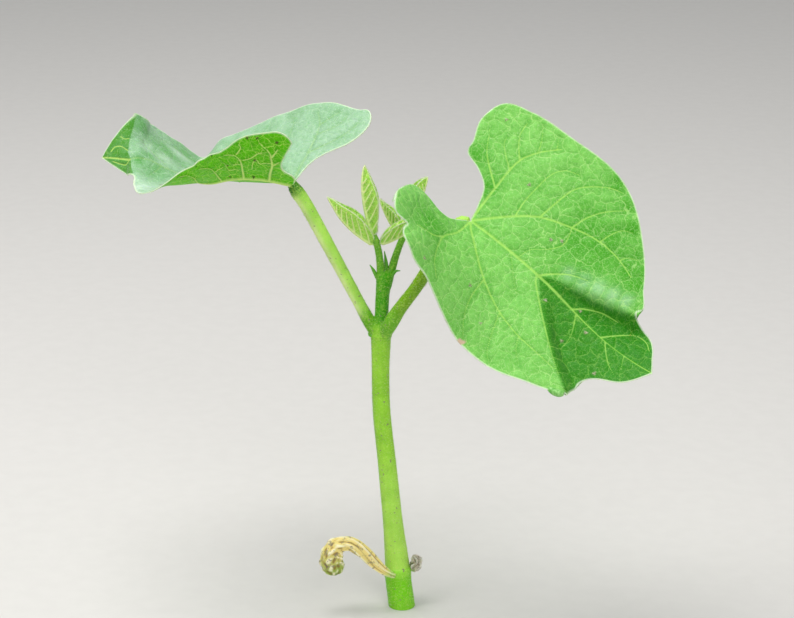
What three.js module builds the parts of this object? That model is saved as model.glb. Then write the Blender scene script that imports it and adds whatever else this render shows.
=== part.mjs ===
import * as THREE from 'three';

// A bean seedling with its two heart-shaped first leaves, two young leaves of three
// leaflets, a shoot tip and one shrivelled seed leaf.
// Millimetres. Z is up, the ground is Z = 0, X is to the right and Y is away from the viewer.

// Driving dimensions
const seam = 0.3;                 // clear space between neighbouring pieces
const firstNodeHeight = 72.4;     // top of the main stem, where the first leaves leave it
const secondNodeHeight = 85;      // top of the upper stem
const bladeThickness = 0.7;
const leafletThickness = 0.45;
const midribDepth = 0.7;          // how far the midrib stands out below a first leaf
const leafletMidribDepth = 0.3;
const spineStart = -20;           // the spine of a blade runs this far back behind its junction
const spineSteps = 240;
const lateralSteps = 16;

const stemPath = [
  [0, 0, 0], [-0.3, 0, 2.5], [-0.8, 0, 6.3], [-1.3, 0, 12.8], [-2.5, 0, 25.6], [-3.65, 0, 38.3],
  [-4.9, 0, 50.8], [-5.2, 0, 60], [-5.05, 0, firstNodeHeight],
];
const stemRadius = [
  [0, 3.4], [0.09, 3.25], [0.135, 3.3], [0.18, 3], [0.3, 2.45], [0.45, 2.35], [0.65, 2.18],
  [0.88, 2.18], [0.96, 2.45], [1, 2],
];

const upperStemPath = [[-4.9, 0, firstNodeHeight + seam], [-4.8, 0, 79.5], [-4.2, 0, secondNodeHeight]];
const upperStemRadius = [[0, 1.35], [0.25, 1.45], [0.5, 1.65], [0.75, 1.7], [1, 2.1]];

const petioleRadius = [[0, 0.8], [0.06, 1.5], [0.12, 1.65], [0.25, 1.5], [0.85, 1.6], [0.93, 1.65], [1, 1.3]];
const basePulvinusLength = 4.5;
const topPulvinusLength = 4;

// Each first leaf: its margin as [angle from the tip, reach] about the junction with its
// stalk, then the heading and pitch of its midrib in degrees along the leaf, and how far
// each half lifts from level and curls further per millimetre outwards. The sway moves the
// base edge of a half along the leaf, by share of the way out.
const rightLeaf = {
  junction: [15.8, -12, 103.1],
  margin: {
    left: [[0, 57], [3, 55], [6, 53], [8.5, 50.5], [12, 46], [20, 43.5], [35, 39], [55, 36],
      [75, 31], [95, 29.5], [108, 28.5], [118, 22], [127, 13], [136, 0]],
    right: [[0, 57], [6, 53], [10, 48.5], [13.5, 47], [20, 47.5], [28, 43], [35, 40], [50, 32.5],
      [65, 26.5], [80, 24], [91, 25.5], [98, 25.9], [104, 25.3], [107, 24.2], [109.5, 22.7],
      [112, 23.9], [114.5, 26], [120, 26.1], [124, 25.2], [128.5, 22.8], [134, 17.9], [136.5, 14.5],
      [139, 12.4], [142, 11.2], [150, 0]],
  },
  heading: [[-16, -32], [0, -32], [30, -35], [57, -41]],
  pitch: [[-16, -22], [0, -26], [20, -32], [35, -36], [48, -22], [57, -14]],
  lift: {
    left: [[-16, 53], [0, 53], [30, 48.5], [57, 38.5]],
    right: [[-16, 38], [-10, 28], [-4, 8], [5, -14], [20, -40], [40, -38], [57, -40]],
  },
  curl: { left: [[0, 0], [57, 0]], right: [[-16, -2], [-8, -1.2], [0, 0], [57, 0]] },
  sway: {
    left: [[0, 0], [0.15, 2.8], [0.3, 4.2], [0.4, 1.9], [0.5, -1.3], [0.6, -1.1], [0.8, -2.2], [1, -2]],
    right: [[0, 0], [0.25, 5], [0.32, 3.8], [0.4, 0.3], [0.5, -1.8], [0.6, -0.4], [0.75, 1.4], [1, 3]],
  },
};

const leftLeaf = {
  junction: [-26.1, 3, 107.9],
  margin: {
    left: [[0, 50], [5, 45.5], [11, 40.5], [18, 40.5], [23, 41], [27, 41], [32, 38.7], [42, 33],
      [55, 25.4], [70, 22.7], [85, 23.3], [100, 23.4], [112, 22.5], [123, 13.9], [132, 8.5], [140, 0]],
    right: [[0, 50], [3, 48.3], [7, 46.4], [11, 45.1], [15.8, 44.7], [17.6, 43.9], [24, 42.6], [28, 40.3],
      [32, 38.3], [42, 34.3], [55, 28.7], [65, 26.7], [80, 25.8], [100, 25], [114, 25], [123, 19],
      [131, 10.5], [138, 0]],
  },
  heading: [[-16, 147], [0, 147], [10, 156], [22, 176], [39.5, 184], [42.5, 167], [50, 163]],
  pitch: [[-16, -5], [0, -7], [12, -3], [22, 4], [30, 22.5], [39.5, 29], [42.5, -7], [50, -16]],
  lift: {
    left: [[-16, 25.5], [0, 21], [5, 20], [10, 19.5], [16, 18], [20, 12], [24, 2], [31, -23.5],
      [38, -32], [41, -40.5], [44, -50], [50, -50]],
    right: [[-16, 31], [0, 38], [6, 36], [12, 29.5], [16, 22], [20, 14], [22.5, 9.5], [25, -2],
      [27.5, 0], [31.5, 6], [35, 9], [38, 11.5], [41, 19], [44, 44], [50, 50]],
  },
  curl: {
    left: [[-16, 2.2], [0, 1.65], [5, 1.5], [10, 1.4], [16, 1.3], [20, 1.5], [24, 2.1], [31, 3.6],
      [36, 1.9], [40, 0.8], [44, 0], [50, 0]],
    right: [[-16, 0], [50, 0]],
  },
  sway: {
    left: [[0, 0], [0.25, 0.5], [0.5, 3], [0.75, 2], [1, -2.5]],
    right: [[0, 0], [0.25, 3.5], [0.5, 0], [0.75, -1], [1, -0.5]],
  },
};

// The young leaflets are folded up along their midribs. Their reach is in leaflet lengths.
const ovate = [[0, 1], [5, 0.88], [11, 0.78], [22, 0.64], [33, 0.48], [46, 0.31], [62, 0.14], [90, 0]];
const lance = [[0, 1], [5.5, 0.89], [13, 0.75], [21, 0.61], [27, 0.48], [33, 0.33], [45, 0.16], [90, 0]];
const leaflets = {
  young_leaf_a_left: {
    junction: [-7.2, 0, 93.8], length: 16.4, shape: ovate, heading: 180, fold: 62,
    pitch: [[0, 32], [4, 37], [8, 47], [12, 59], [15, 60], [16.4, 45]],
  },
  young_leaf_a_middle: {
    junction: [-6.7, 0, 96.2], length: 17.6, shape: lance, heading: 180, fold: 60,
    pitch: [[0, 68], [5, 76], [10, 84], [14, 93], [17.6, 103]],
  },
  young_leaf_a_right: {
    junction: [-4.8, 0, 94.1], length: 13, shape: ovate, heading: 2, fold: 60,
    pitch: [[0, 12], [4, 26], [8, 36], [13, 40]],
  },
  young_leaf_b_left: {
    junction: [-0.9, 5.4, 94.5], length: 10.5, shape: ovate, heading: 172, fold: 58,
    pitch: [[0, 50], [4, 60], [10.5, 72]],
  },
  young_leaf_b_middle: {
    junction: [1.3, 4.9, 96.5], length: 13, shape: ovate, heading: 15, fold: 62,
    pitch: [[0, 62], [6, 70], [13, 80]],
  },
  young_leaf_b_right: {
    junction: [1.9, 4.9, 94.9], length: 9.5, shape: ovate, heading: 14, fold: 58,
    pitch: [[0, 5], [5, 14], [9.5, 20]],
  },
};

// Curves

// A smooth curve through [position, value] pairs, held level beyond both ends.
function keyed(x, keys) {
  const last = keys.length - 1;
  const at = Math.min(Math.max(x, keys[0][0]), keys[last][0]);
  let i = 0;
  while (i < last - 1 && at >= keys[i + 1][0]) i += 1;
  const slope = (k) => {
    const from = keys[Math.max(k - 1, 0)];
    const to = keys[Math.min(k + 1, last)];
    return (to[1] - from[1]) / (to[0] - from[0]);
  };
  const [x0, v0] = keys[i];
  const [x1, v1] = keys[i + 1];
  const h = x1 - x0;
  const t = (at - x0) / h;
  const t2 = t * t;
  const t3 = t2 * t;
  return (2 * t3 - 3 * t2 + 1) * v0 + (t3 - 2 * t2 + t) * h * slope(i)
    + (3 * t2 - 2 * t3) * v1 + (t3 - t2) * h * slope(i + 1);
}

// A smooth path through points, as a function of the distance along it.
function pathThrough(points) {
  const distance = [0];
  for (let i = 1; i < points.length; i += 1) {
    const step = Math.hypot(...points[i].map((value, axis) => value - points[i - 1][axis]));
    distance.push(distance[i - 1] + step);
  }
  const axes = [0, 1, 2].map((axis) => points.map((point, i) => [distance[i], point[axis]]));
  const length = distance[distance.length - 1];
  return { length, at: (s) => new THREE.Vector3(...axes.map((keys) => keyed(s, keys))) };
}

// Limbs

// A tapering limb round a path, from one distance along it to another, closed by flat ends.
// A rooted limb starts with a level cut.
function limb(points, radiusKeys, { from = 0, to = null, sides = 12, rings = 16, rooted = false } = {}) {
  const path = pathThrough(points);
  const end = to ?? path.length;
  const small = 0.05;
  const vertices = [];
  const faces = [];
  let across = new THREE.Vector3(0, 1, 0);
  for (let i = 0; i <= rings; i += 1) {
    const s = from + (end - from) * i / rings;
    const centre = path.at(s);
    const before = path.at(Math.max(s - small, 0));
    const along = path.at(Math.min(s + small, path.length)).sub(before).normalize();
    if (rooted && i === 0) along.set(0, 0, 1);
    across = across.clone().addScaledVector(along, -across.dot(along)).normalize();
    const other = new THREE.Vector3().crossVectors(along, across);
    const radius = keyed(s / path.length, radiusKeys);
    for (let k = 0; k < sides; k += 1) {
      const angle = 2 * Math.PI * k / sides;
      const point = centre.clone()
        .addScaledVector(across, radius * Math.cos(angle))
        .addScaledVector(other, radius * Math.sin(angle));
      vertices.push(point);
    }
  }
  for (let i = 0; i < rings; i += 1) {
    for (let k = 0; k < sides; k += 1) {
      const next = (k + 1) % sides;
      const a = i * sides + k;
      const b = i * sides + next;
      faces.push([a, b, b + sides], [a, b + sides, a + sides]);
    }
  }
  const top = rings * sides;
  for (let k = 1; k < sides - 1; k += 1) {
    faces.push([0, k + 1, k], [top, top + k, top + k + 1]);
  }
  return solid(vertices, faces);
}

function solid(vertices, faces) {
  const geometry = new THREE.BufferGeometry();
  const flat = vertices.flatMap((vertex) => [vertex.x, vertex.y, vertex.z]);
  geometry.setAttribute('position', new THREE.Float32BufferAttribute(flat, 3));
  geometry.setIndex(faces.flat());
  geometry.computeVertexNormals();
  return geometry;
}

// Blades

// The direction of the midrib, its left hand and its upper side at a distance along the leaf.
function frameAt(leaf, x) {
  const heading = THREE.MathUtils.degToRad(keyed(x, leaf.heading));
  const pitch = THREE.MathUtils.degToRad(keyed(x, leaf.pitch));
  const along = new THREE.Vector3(
    Math.cos(pitch) * Math.cos(heading),
    Math.cos(pitch) * Math.sin(heading),
    Math.sin(pitch),
  );
  const left = new THREE.Vector3(-Math.sin(heading), Math.cos(heading), 0);
  return { along, left, up: new THREE.Vector3().crossVectors(along, left) };
}

// Positions along the midrib, found by adding up its direction in small steps.
function spineOf(leaf) {
  const length = leaf.margin.left[0][1];
  const step = (length - spineStart) / spineSteps;
  const places = [new THREE.Vector3()];
  for (let i = 1; i <= spineSteps; i += 1) {
    const middle = spineStart + (i - 0.5) * step;
    places.push(places[i - 1].clone().addScaledVector(frameAt(leaf, middle).along, step));
  }
  const between = (x) => {
    const place = Math.min(Math.max((x - spineStart) / step, 0), spineSteps - 1e-6);
    const i = Math.floor(place);
    return places[i].clone().lerp(places[i + 1], place - i);
  };
  const shift = new THREE.Vector3(...leaf.junction).sub(between(0));
  return (x) => between(x).add(shift);
}

// A point of the flat leaf, x along the midrib and y out to one side, laid in space.
function placeOnBlade(leaf, spine, side, x, y) {
  const { left, up } = frameAt(leaf, x);
  const half = side > 0 ? 'left' : 'right';
  const lift = THREE.MathUtils.degToRad(keyed(x, leaf.lift[half]));
  const curl = THREE.MathUtils.degToRad(keyed(x, leaf.curl[half]));
  const point = spine(x);
  for (let i = 0; i < lateralSteps; i += 1) {
    const angle = lift + curl * y * (i + 0.5) / lateralSteps;
    point.addScaledVector(left, side * Math.cos(angle) * y / lateralSteps);
    point.addScaledVector(up, Math.sin(angle) * y / lateralSteps);
  }
  return point;
}

// A point of the flat half leaf: u runs from the base to the tip and v from the midrib to
// the margin. The margin behind the widest part of the lobe forms the base edge.
function flatPoint(leaf, half, u, v) {
  const marginKeys = leaf.margin[half];
  const length = marginKeys[0][1];
  const sinus = marginKeys[marginKeys.length - 1][0];
  const lobe = 0.82 * sinus;
  const onMargin = (angle) => {
    const reach = keyed(angle, marginKeys);
    const radians = THREE.MathUtils.degToRad(angle);
    return [reach * Math.cos(radians), reach * Math.sin(radians)];
  };
  const [outerX, outerY] = onMargin(lobe * (1 - u) ** 1.15);
  const [baseX, baseY] = onMargin(sinus - v * (sinus - lobe));
  const [lobeX, lobeY] = onMargin(lobe);
  const sway = (1 - u) ** 3 * keyed(v, leaf.sway[half]);
  const x = (1 - v) * length * u + v * outerX + (1 - u) * (baseX - v * lobeX) + sway;
  const y = v * outerY + (1 - u) * (baseY - v * lobeY);
  return [x, Math.max(y, 0)];
}

// A leaf as one thin closed body whose midrib stands out below.
function blade(leaf, { columns, rows, thickness, rib }) {
  const spine = spineOf(leaf);
  const across = [...rows.slice(1).reverse().map((v) => -v), ...rows];
  const width = across.length;
  const upper = [];
  for (let i = 0; i < columns; i += 1) {
    const u = i / columns;
    for (const v of across) {
      const side = v < 0 ? -1 : 1;
      const [x, y] = flatPoint(leaf, side > 0 ? 'left' : 'right', u, Math.abs(v));
      upper.push(placeOnBlade(leaf, spine, side, x, y));
    }
  }
  const tip = upper.length;
  upper.push(spine(leaf.margin.left[0][1]));

  const faces = [];
  for (let i = 0; i < columns - 1; i += 1) {
    for (let j = 0; j < width - 1; j += 1) {
      const a = i * width + j;
      faces.push([a, a + width, a + width + 1], [a, a + width + 1, a + 1]);
    }
  }
  const lastColumn = (columns - 1) * width;
  for (let j = 0; j < width - 1; j += 1) faces.push([lastColumn + j, tip, lastColumn + j + 1]);

  const normals = solid(upper, faces).getAttribute('normal');
  const middle = (width - 1) / 2;
  const lower = upper.map((point, index) => {
    const column = Math.floor(index / width);
    const onMidrib = index === tip || index % width === middle;
    const depth = onMidrib ? thickness + rib * (1 - column / columns) : thickness;
    const normal = new THREE.Vector3().fromBufferAttribute(normals, index);
    return point.clone().addScaledVector(normal, -depth);
  });

  const count = upper.length;
  const underside = faces.map(([a, b, c]) => [a + count, c + count, b + count]);
  const rim = [];
  for (let j = 0; j < width - 1; j += 1) rim.push([j, j + 1]);
  for (let i = 0; i < columns - 1; i += 1) {
    rim.push([(i + 1) * width, i * width]);
    rim.push([i * width + width - 1, (i + 1) * width + width - 1]);
  }
  rim.push([tip, lastColumn], [lastColumn + width - 1, tip]);
  const walls = rim.flatMap(([a, b]) => [[a, b, b + count], [a, b + count, a + count]]);
  return solid([...upper, ...lower], [...faces, ...underside, ...walls]);
}

const leafRows = [0, 0.06, 0.2, 0.36, 0.52, 0.68, 0.84, 1];

function firstLeaf(leaf) {
  return blade(leaf, { columns: 28, rows: leafRows, thickness: bladeThickness, rib: midribDepth });
}

function leaflet({ junction, length, shape, heading, pitch, fold }) {
  const margin = shape.map(([angle, reach]) => [angle, reach * length]);
  const level = (value) => [[0, value], [length, value]];
  const leaf = {
    junction,
    margin: { left: margin, right: margin },
    heading: level(heading),
    pitch,
    lift: { left: level(fold), right: level(fold) },
    curl: { left: level(-1), right: level(-1) },
    sway: { left: level(0), right: level(0) },
  };
  const rows = [0, 0.15, 0.45, 0.75, 1];
  return blade(leaf, { columns: 9, rows, thickness: leafletThickness, rib: leafletMidribDepth });
}

// Leaf stalks of the first leaves, each in three pieces along one path

// The stalk ends a little below the midrib, nearer to it where the two halves fold up.
function stalkTop(leaf, gap) {
  const { along, up } = frameAt(leaf, 0);
  const drop = bladeThickness + midribDepth + gap;
  const point = new THREE.Vector3(...leaf.junction).addScaledVector(up, -drop).addScaledVector(along, -0.2);
  return point.toArray();
}

function addStalk(side, points) {
  const length = pathThrough(points).length;
  const joints = [0, basePulvinusLength, length - topPulvinusLength, length];
  const names = [`petiole_${side}_base`, `petiole_${side}`, `petiole_${side}_top`];
  names.forEach((name, i) => {
    const from = joints[i] + (i > 0 ? seam : 0);
    const rings = i === 1 ? 14 : 5;
    const geometry = limb(points, petioleRadius, { from, to: joints[i + 1], rings });
    add(name, geometry, i === 1 ? stalkGreen : pulvinusGreen);
  });
}

// Materials

function finish(colour, roughness) {
  return new THREE.MeshStandardMaterial({ color: colour, roughness, metalness: 0 });
}

const stemGreen = finish(0x7fb832, 0.55);
const stalkGreen = finish(0x8fc44a, 0.55);
const pulvinusGreen = finish(0x5f9a2c, 0.6);
const leafGreen = finish(0x62b04c, 0.5);
const youngGreen = finish(0x86c43c, 0.55);
const driedOchre = finish(0xb9953f, 0.7);

// Assembly

const plant = new THREE.Group();

function add(name, geometry, material) {
  const mesh = new THREE.Mesh(geometry, material);
  mesh.name = name;
  plant.add(mesh);
}

add('stem', limb(stemPath, stemRadius, { sides: 16, rings: 26, rooted: true }), stemGreen);
add('upper_stem', limb(upperStemPath, upperStemRadius, { rings: 6 }), stemGreen);

addStalk('left', [
  [-7.4, 0.3, 73], [-8.3, 0.4, 75], [-16.3, 1.5, 90.6], [-23.2, 2.6, 103.4], stalkTop(leftLeaf, 3 * seam),
]);
addStalk('right', [
  [-3.4, -2.2, 73.1], [-2.2, -2.9, 75.4], [3.9, -4.6, 85.5], [10, -8.8, 97], stalkTop(rightLeaf, 0.5 * seam),
]);
add('leaf_left', firstLeaf(leftLeaf), leafGreen);
add('leaf_right', firstLeaf(rightLeaf), leafGreen);

// The two young leaves stand on the second node, with the shoot tip between them.
const youngStart = secondNodeHeight + seam;
const youngStalkA = [[-5, -0.3, youngStart], [-5.2, -0.2, 89], [-5.9, 0, 93.5], [-6.3, 0, 95.2]];
const youngStalkB = [[-2.9, 0.2, youngStart], [-2.2, 1, 88.6], [-0.8, 3, 92], [0.7, 4.6, 95.4]];
add('young_petiole_a', limb(youngStalkA, [[0, 1], [0.3, 0.9], [1, 0.5]], { sides: 10, rings: 8 }), youngGreen);
add('young_petiole_b', limb(youngStalkB, [[0, 0.95], [0.3, 0.85], [1, 0.6]], { sides: 10, rings: 8 }), youngGreen);
for (const [name, values] of Object.entries(leaflets)) add(name, leaflet(values), youngGreen);

const budPath = [[-4.1, 1.6, youngStart], [-3.9, 1.5, 88.5], [-4.2, 1.4, 91.8]];
add('shoot_tip', limb(budPath, [[0, 0.55], [0.5, 0.5], [1, 0.12]], { sides: 8, rings: 5 }), youngGreen);

// Stipules, small pointed scales beside each node
const stipules = {
  stipule_left: [[-6.7, 0.1, 86], [-7.1, 0.1, 87.6], [-7.7, 0, 88.9]],
  stipule_right: [[-1.6, 0.1, 86.2], [-1.1, 0, 87.1], [-0.4, 0, 87.4]],
  node_stipule: [[-7.6, -1.8, 70.2], [-8, -2, 71.2], [-8.2, -2.1, 72]],
};
for (const [name, points] of Object.entries(stipules)) {
  add(name, limb(points, [[0, 0.4], [0.4, 0.38], [1, 0.1]], { sides: 6, rings: 3 }), youngGreen);
}

// The seed leaf arches out from the stem and curls back under. It is split at the bend.
const seedLeafPath = [
  [-2.7, -3.7, 9.9], [-4.4, -4.2, 11.2], [-6.8, -4.8, 13.6], [-9.7, -5.6, 17], [-12.6, -6, 19.1],
  [-15.4, -6, 18.8], [-17, -6, 17], [-17.2, -6, 14.8], [-16.8, -6, 12.4], [-16.6, -6, 11.6],
];
const seedLeafRadius = [
  [0, 0.6], [0.08, 0.95], [0.25, 1.4], [0.45, 1.6], [0.6, 1.6], [0.75, 2.1], [0.87, 2.4], [0.95, 2.2],
  [1, 1.4],
];
const seedLeafBend = pathThrough(seedLeafPath).length * 0.5;
add('seed_leaf', limb(seedLeafPath, seedLeafRadius, { to: seedLeafBend, rings: 10 }), driedOchre);
add('seed_leaf_tip', limb(seedLeafPath, seedLeafRadius, { from: seedLeafBend + seam, rings: 12 }), driedOchre);

// The scar of the other seed leaf, a small dry stub on the stem
const scarPath = [[3.1, -0.4, 10.9], [3.3, -0.5, 12.4], [3, -0.5, 14]];
add('seed_leaf_scar', limb(scarPath, [[0, 0.6], [0.5, 1], [1, 0.4]], { sides: 8, rings: 3 }), driedOchre);

export default plant;
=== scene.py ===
# The looks of a bean seedling: quilted first leaves with their veins, a hairy stem and
# stalks, folded young leaves and a shrivelled seed leaf, on a plain pale floor.
import math

import bmesh
import bpy
import numpy as np
from mathutils.kdtree import KDTree
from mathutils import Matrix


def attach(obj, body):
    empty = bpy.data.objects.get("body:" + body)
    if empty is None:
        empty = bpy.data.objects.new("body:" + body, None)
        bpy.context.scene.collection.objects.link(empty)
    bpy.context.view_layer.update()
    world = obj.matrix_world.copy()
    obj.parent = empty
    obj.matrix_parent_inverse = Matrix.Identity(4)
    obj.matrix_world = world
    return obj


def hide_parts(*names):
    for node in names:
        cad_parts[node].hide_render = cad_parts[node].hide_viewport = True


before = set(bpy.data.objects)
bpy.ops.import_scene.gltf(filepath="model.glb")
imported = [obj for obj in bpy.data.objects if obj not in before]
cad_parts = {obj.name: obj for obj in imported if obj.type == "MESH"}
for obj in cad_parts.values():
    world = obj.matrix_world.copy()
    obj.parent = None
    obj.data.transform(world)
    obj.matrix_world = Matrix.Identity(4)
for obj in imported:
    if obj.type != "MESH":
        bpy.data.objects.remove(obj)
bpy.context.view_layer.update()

# The plant's measures are in millimetres. A mesh is turned into metres as it is made.
MM = 0.001

# Camera
CAMERA_TARGET = (-1.2, 0.0, 77.7)
CAMERA_PITCH = 18.0
CAMERA_DISTANCE = 600.0
CAMERA_LENS = 113.35
SENSOR_WIDTH = 36.0

# Stage, in metres: each light has its place, its size and its power.
FLOOR_SIZE = 8.0
LIGHTS = {
    "sky": ((-0.22, -0.02, 0.82), 0.55, 6.2),
    "fill": ((0.2, -0.7, 0.4), 0.5, 2.4),
}
WORLD_COLOUR = (0.94, 0.97, 1.0, 1)
WORLD_STRENGTH = 0.42

# Blades
SIDES = {"left": 1, "right": -1}
NONE = {"left": [], "right": []}
SPINE_START = -20.0
SPINE_STEPS = 240
LATERAL_STEPS = 16
LEAF_THICKNESS = 0.38
LEAFLET_THICKNESS = 0.3
LEAF_COLUMNS = 230
LEAF_ROWS = 105
LEAFLET_COLUMNS = 80
LEAFLET_ROWS = 26
LEAF_CELLS = 3.2
LEAFLET_CELLS = 1.1
LOBE_SHARE = 0.82
COLUMN_SPACING = 1.15
RIM_SHARE = 0.5
RIM_BREADTH = 0.6
RIPPLE_WAVES = 4
RIPPLE_LENGTHS = (7, 14)
FOLD_START = (0.05, 0.7)
FOLD_FADE = 1.5
FLECK_SIZE = 0.42
FLECK_RISE = 0.12

# Veins. Reach is how far from a vein, in cells, the puffing or the shade still shows.
FAR_FROM_VEIN = 4.0
VEIN_END = 1.0
VEIN_HEIGHT = 0.7
VEIN_POINTS = 14
RIB_HEIGHT = 0.8
RIB_TAPER = 0.7
RIDGE_FADE = 0.8
PUFF_REACH = 0.7
SHADE_REACH = 0.25
NET_BREADTH = 0.12
LEAFLET_VEINS = dict(
    pairs=6, first=0.06, spread=0.8, angle=52, angle_step=3, bend=1.2, step=0.02, reach=0.94,
    start=0.26, end=0.16, most_points=30)

# Stem and stalks
SKIN_VOXEL = 0.22
SKIN_BLEND = 0.3
SKIN_PASSES = 4
ROUGH_SIDES = 20
ROUGH_RINGS = 40
ROUGH_FOOT = 0.8
PALE_FACING = (0.3, 1)
PALE_START = (0.1, 0.2)
PALE_END = (0.95, 0.88)
BELOW_GROUND = 3.0
STEM_AXIS_X = -4.0
STEM_RINGS = [(10.3, 0.12), (71.2, 0.2)]
STEM_RING_BREADTH = 0.4
STEM_RIDGES = 9
STEM_RIDGE_HEIGHT = 0.03
STEM_BUMP_HEIGHT = 0.02

# Hairs, with the shortest and the longest on the stem
LEAF_HAIRS = dict(count=500, length=0.35)
LEAFLET_HAIRS = dict(count=130, length=0.6)
SHORTEST_SHARE = 0.5
HAIR_TURN_SEED = 5
STEM_HAIR_SEED = 11
STEM_HAIRS_PER_SQUARE_MM = 3.2
STEM_HAIR_LENGTHS = (0.2, 0.55)
STEM_HAIR_THICKNESS = 0.035
STEM_HAIR_SPREAD = 0.25
STEM_HAIR_LIFT = 0.15
STEM_HAIR_DEPTH = 0.03
STEM_HAIR_FOOT = 0.6
STEM_HAIR_REACH = 0.35
BLADE_HAIR_THICKNESS = 0.03
BLADE_HAIR_SPREAD = 0.35
BLADE_HAIR_DEPTH = 0.05
BASE_HAIR_SHARE = 0.3
INNER_SHARE = 0.96
INNER_COLUMN = 0.03
RIB_HAIR_DEPTH = 0.2

# Lengths that are as good as none, or as good as endless
SMALL_STEP = 0.05
SMALLEST = 1e-9
FAR_AWAY = 1e3

# Mottling: how fine it is, its detail, where it starts and is full, and its roughness if not 0.5
LEAF_PATCHES = (130.0, 3.0, 0.35, 0.65)
LEAF_MOTTLE = (700.0, 4.0, 0.35, 0.65, 0.6)
LEAF_GRAIN = (3000.0, 2.0, 0.35, 0.65)
LEAF_CRUMBS = (3500.0, 2.0, 0.4, 0.6)
LEAF_DUST = (4200.0, 1.0, 0.6, 0.7)
STEM_SPECKLE = (2200.0, 2.0, 0.45, 0.7)
STEM_PATCHES = (260.0, 3.0, 0.35, 0.7)
STEM_CRUMBS = (1300.0, 2.0, 0.67, 0.7)
DRIED_CRUMBS = (900.0, 4.0, 0.55, 0.63, 0.6)

# Bumps and glow in metres
STEM_BUMP = 0.00006
PLAIN_BUMP = 0.00004
DRIED_BUMP = 0.00015
LEAF_GLOW_DEPTH = 0.0012
STEM_GLOW_DEPTH = 0.002
DRIED_GLOW_DEPTH = 0.001

# The veins of each half of a first leaf, flat, from the junction. Each is its points, and its
# half width at both ends.
UPPER_VEINS = [
    ([(0, 0), (-0.1, 10), (0.3, 18), (2.6, 22.4), (6, 26.2), (11, 29.5)], 0.42, 0.16),
    ([(-0.2, 9.7), (-6.5, 15.2), (-9.5, 20.6), (-9.8, 25)], 0.26, 0.12),
    ([(0.1, 15), (-4.4, 19), (-5.4, 22)], 0.2, 0.12),
    ([(0.3, 18.3), (-2.8, 22.7), (-3.5, 27.5)], 0.22, 0.12),
    ([(2.5, 22.4), (1.3, 25.5), (-0.5, 28.5)], 0.18, 0.11),
    ([(5.3, 25.5), (3.8, 28.4)], 0.16, 0.11),
    ([(0, 0), (7.8, 7.3), (12.1, 10.6), (19, 13.5), (25.5, 15.5), (31.3, 15.7),
      (36, 14.8)], 0.42, 0.14),
    ([(7.6, 7.3), (7.1, 11), (7.3, 16), (7.8, 20), (9.5, 22.8), (12.5, 24)], 0.22, 0.12),
    ([(12.1, 10.8), (12.7, 15.6), (13.7, 20.6), (15.8, 23.5), (19.3, 26.5),
      (21.9, 27.5)], 0.26, 0.12),
    ([(19, 13.5), (19.8, 17.2), (21.7, 21.2), (25, 25.4)], 0.24, 0.12),
    ([(25.5, 15.5), (25.8, 17.8), (26.9, 20.9), (28.8, 22.3)], 0.2, 0.11),
    ([(31.2, 15.6), (32, 17.5), (34, 18.8)], 0.18, 0.11),
    ([(19.1, 13.4), (20.2, 10.5), (20.2, 8.7), (18, 5.6), (15.4, 3.2), (14.6, 0)], 0.16, 0.12),
    ([(21, 0), (23, 2.3), (26.2, 5.1), (30, 7)], 0.32, 0.12),
    ([(32, 0), (33.7, 2.3), (37.2, 4.7), (41.5, 5.8)], 0.28, 0.12),
    ([(41.3, 0), (43.8, 3.3), (47, 6.1), (50, 6.1), (52.5, 4.5)], 0.24, 0.11),
]
LOWER_VEINS = [
    ([(0, 0), (1.3, 2), (7.3, 6.8), (12.6, 9.9), (20.7, 12.7), (28.7, 13.7), (35.3, 13.5),
      (40, 13.4)], 0.36, 0.14),
    ([(13, 10.1), (14.2, 16), (16.6, 20.4), (20, 23.6)], 0.24, 0.12),
    ([(21.2, 12.9), (23.7, 17.5), (26.8, 21.7), (29.3, 23)], 0.22, 0.12),
    ([(29, 13.8), (31.7, 16.8), (34.5, 18.4)], 0.18, 0.11),
    ([(0, 0), (0.6, 2.7), (1, 7.4), (0.3, 12.3), (3.2, 18.7), (6.5, 21)], 0.36, 0.16),
    ([(0.3, 12.3), (-1.1, 15.5), (-4.5, 18), (-8, 21)], 0.24, 0.12),
    ([(12.2, 0), (18, 4.9), (21, 7)], 0.16, 0.11),
    ([(20.5, 0), (21.4, 1.3), (27, 5.2), (34.6, 9.7), (41.6, 13.6)], 0.28, 0.14),
    ([(33.6, 0), (36.4, 3.9), (37.1, 8), (36, 10.3)], 0.2, 0.12),
    ([(43, 0), (47, 3.5), (50, 5.1)], 0.2, 0.12),
    ([(48.8, 0), (50.6, 3.3)], 0.16, 0.11),
]
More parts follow.
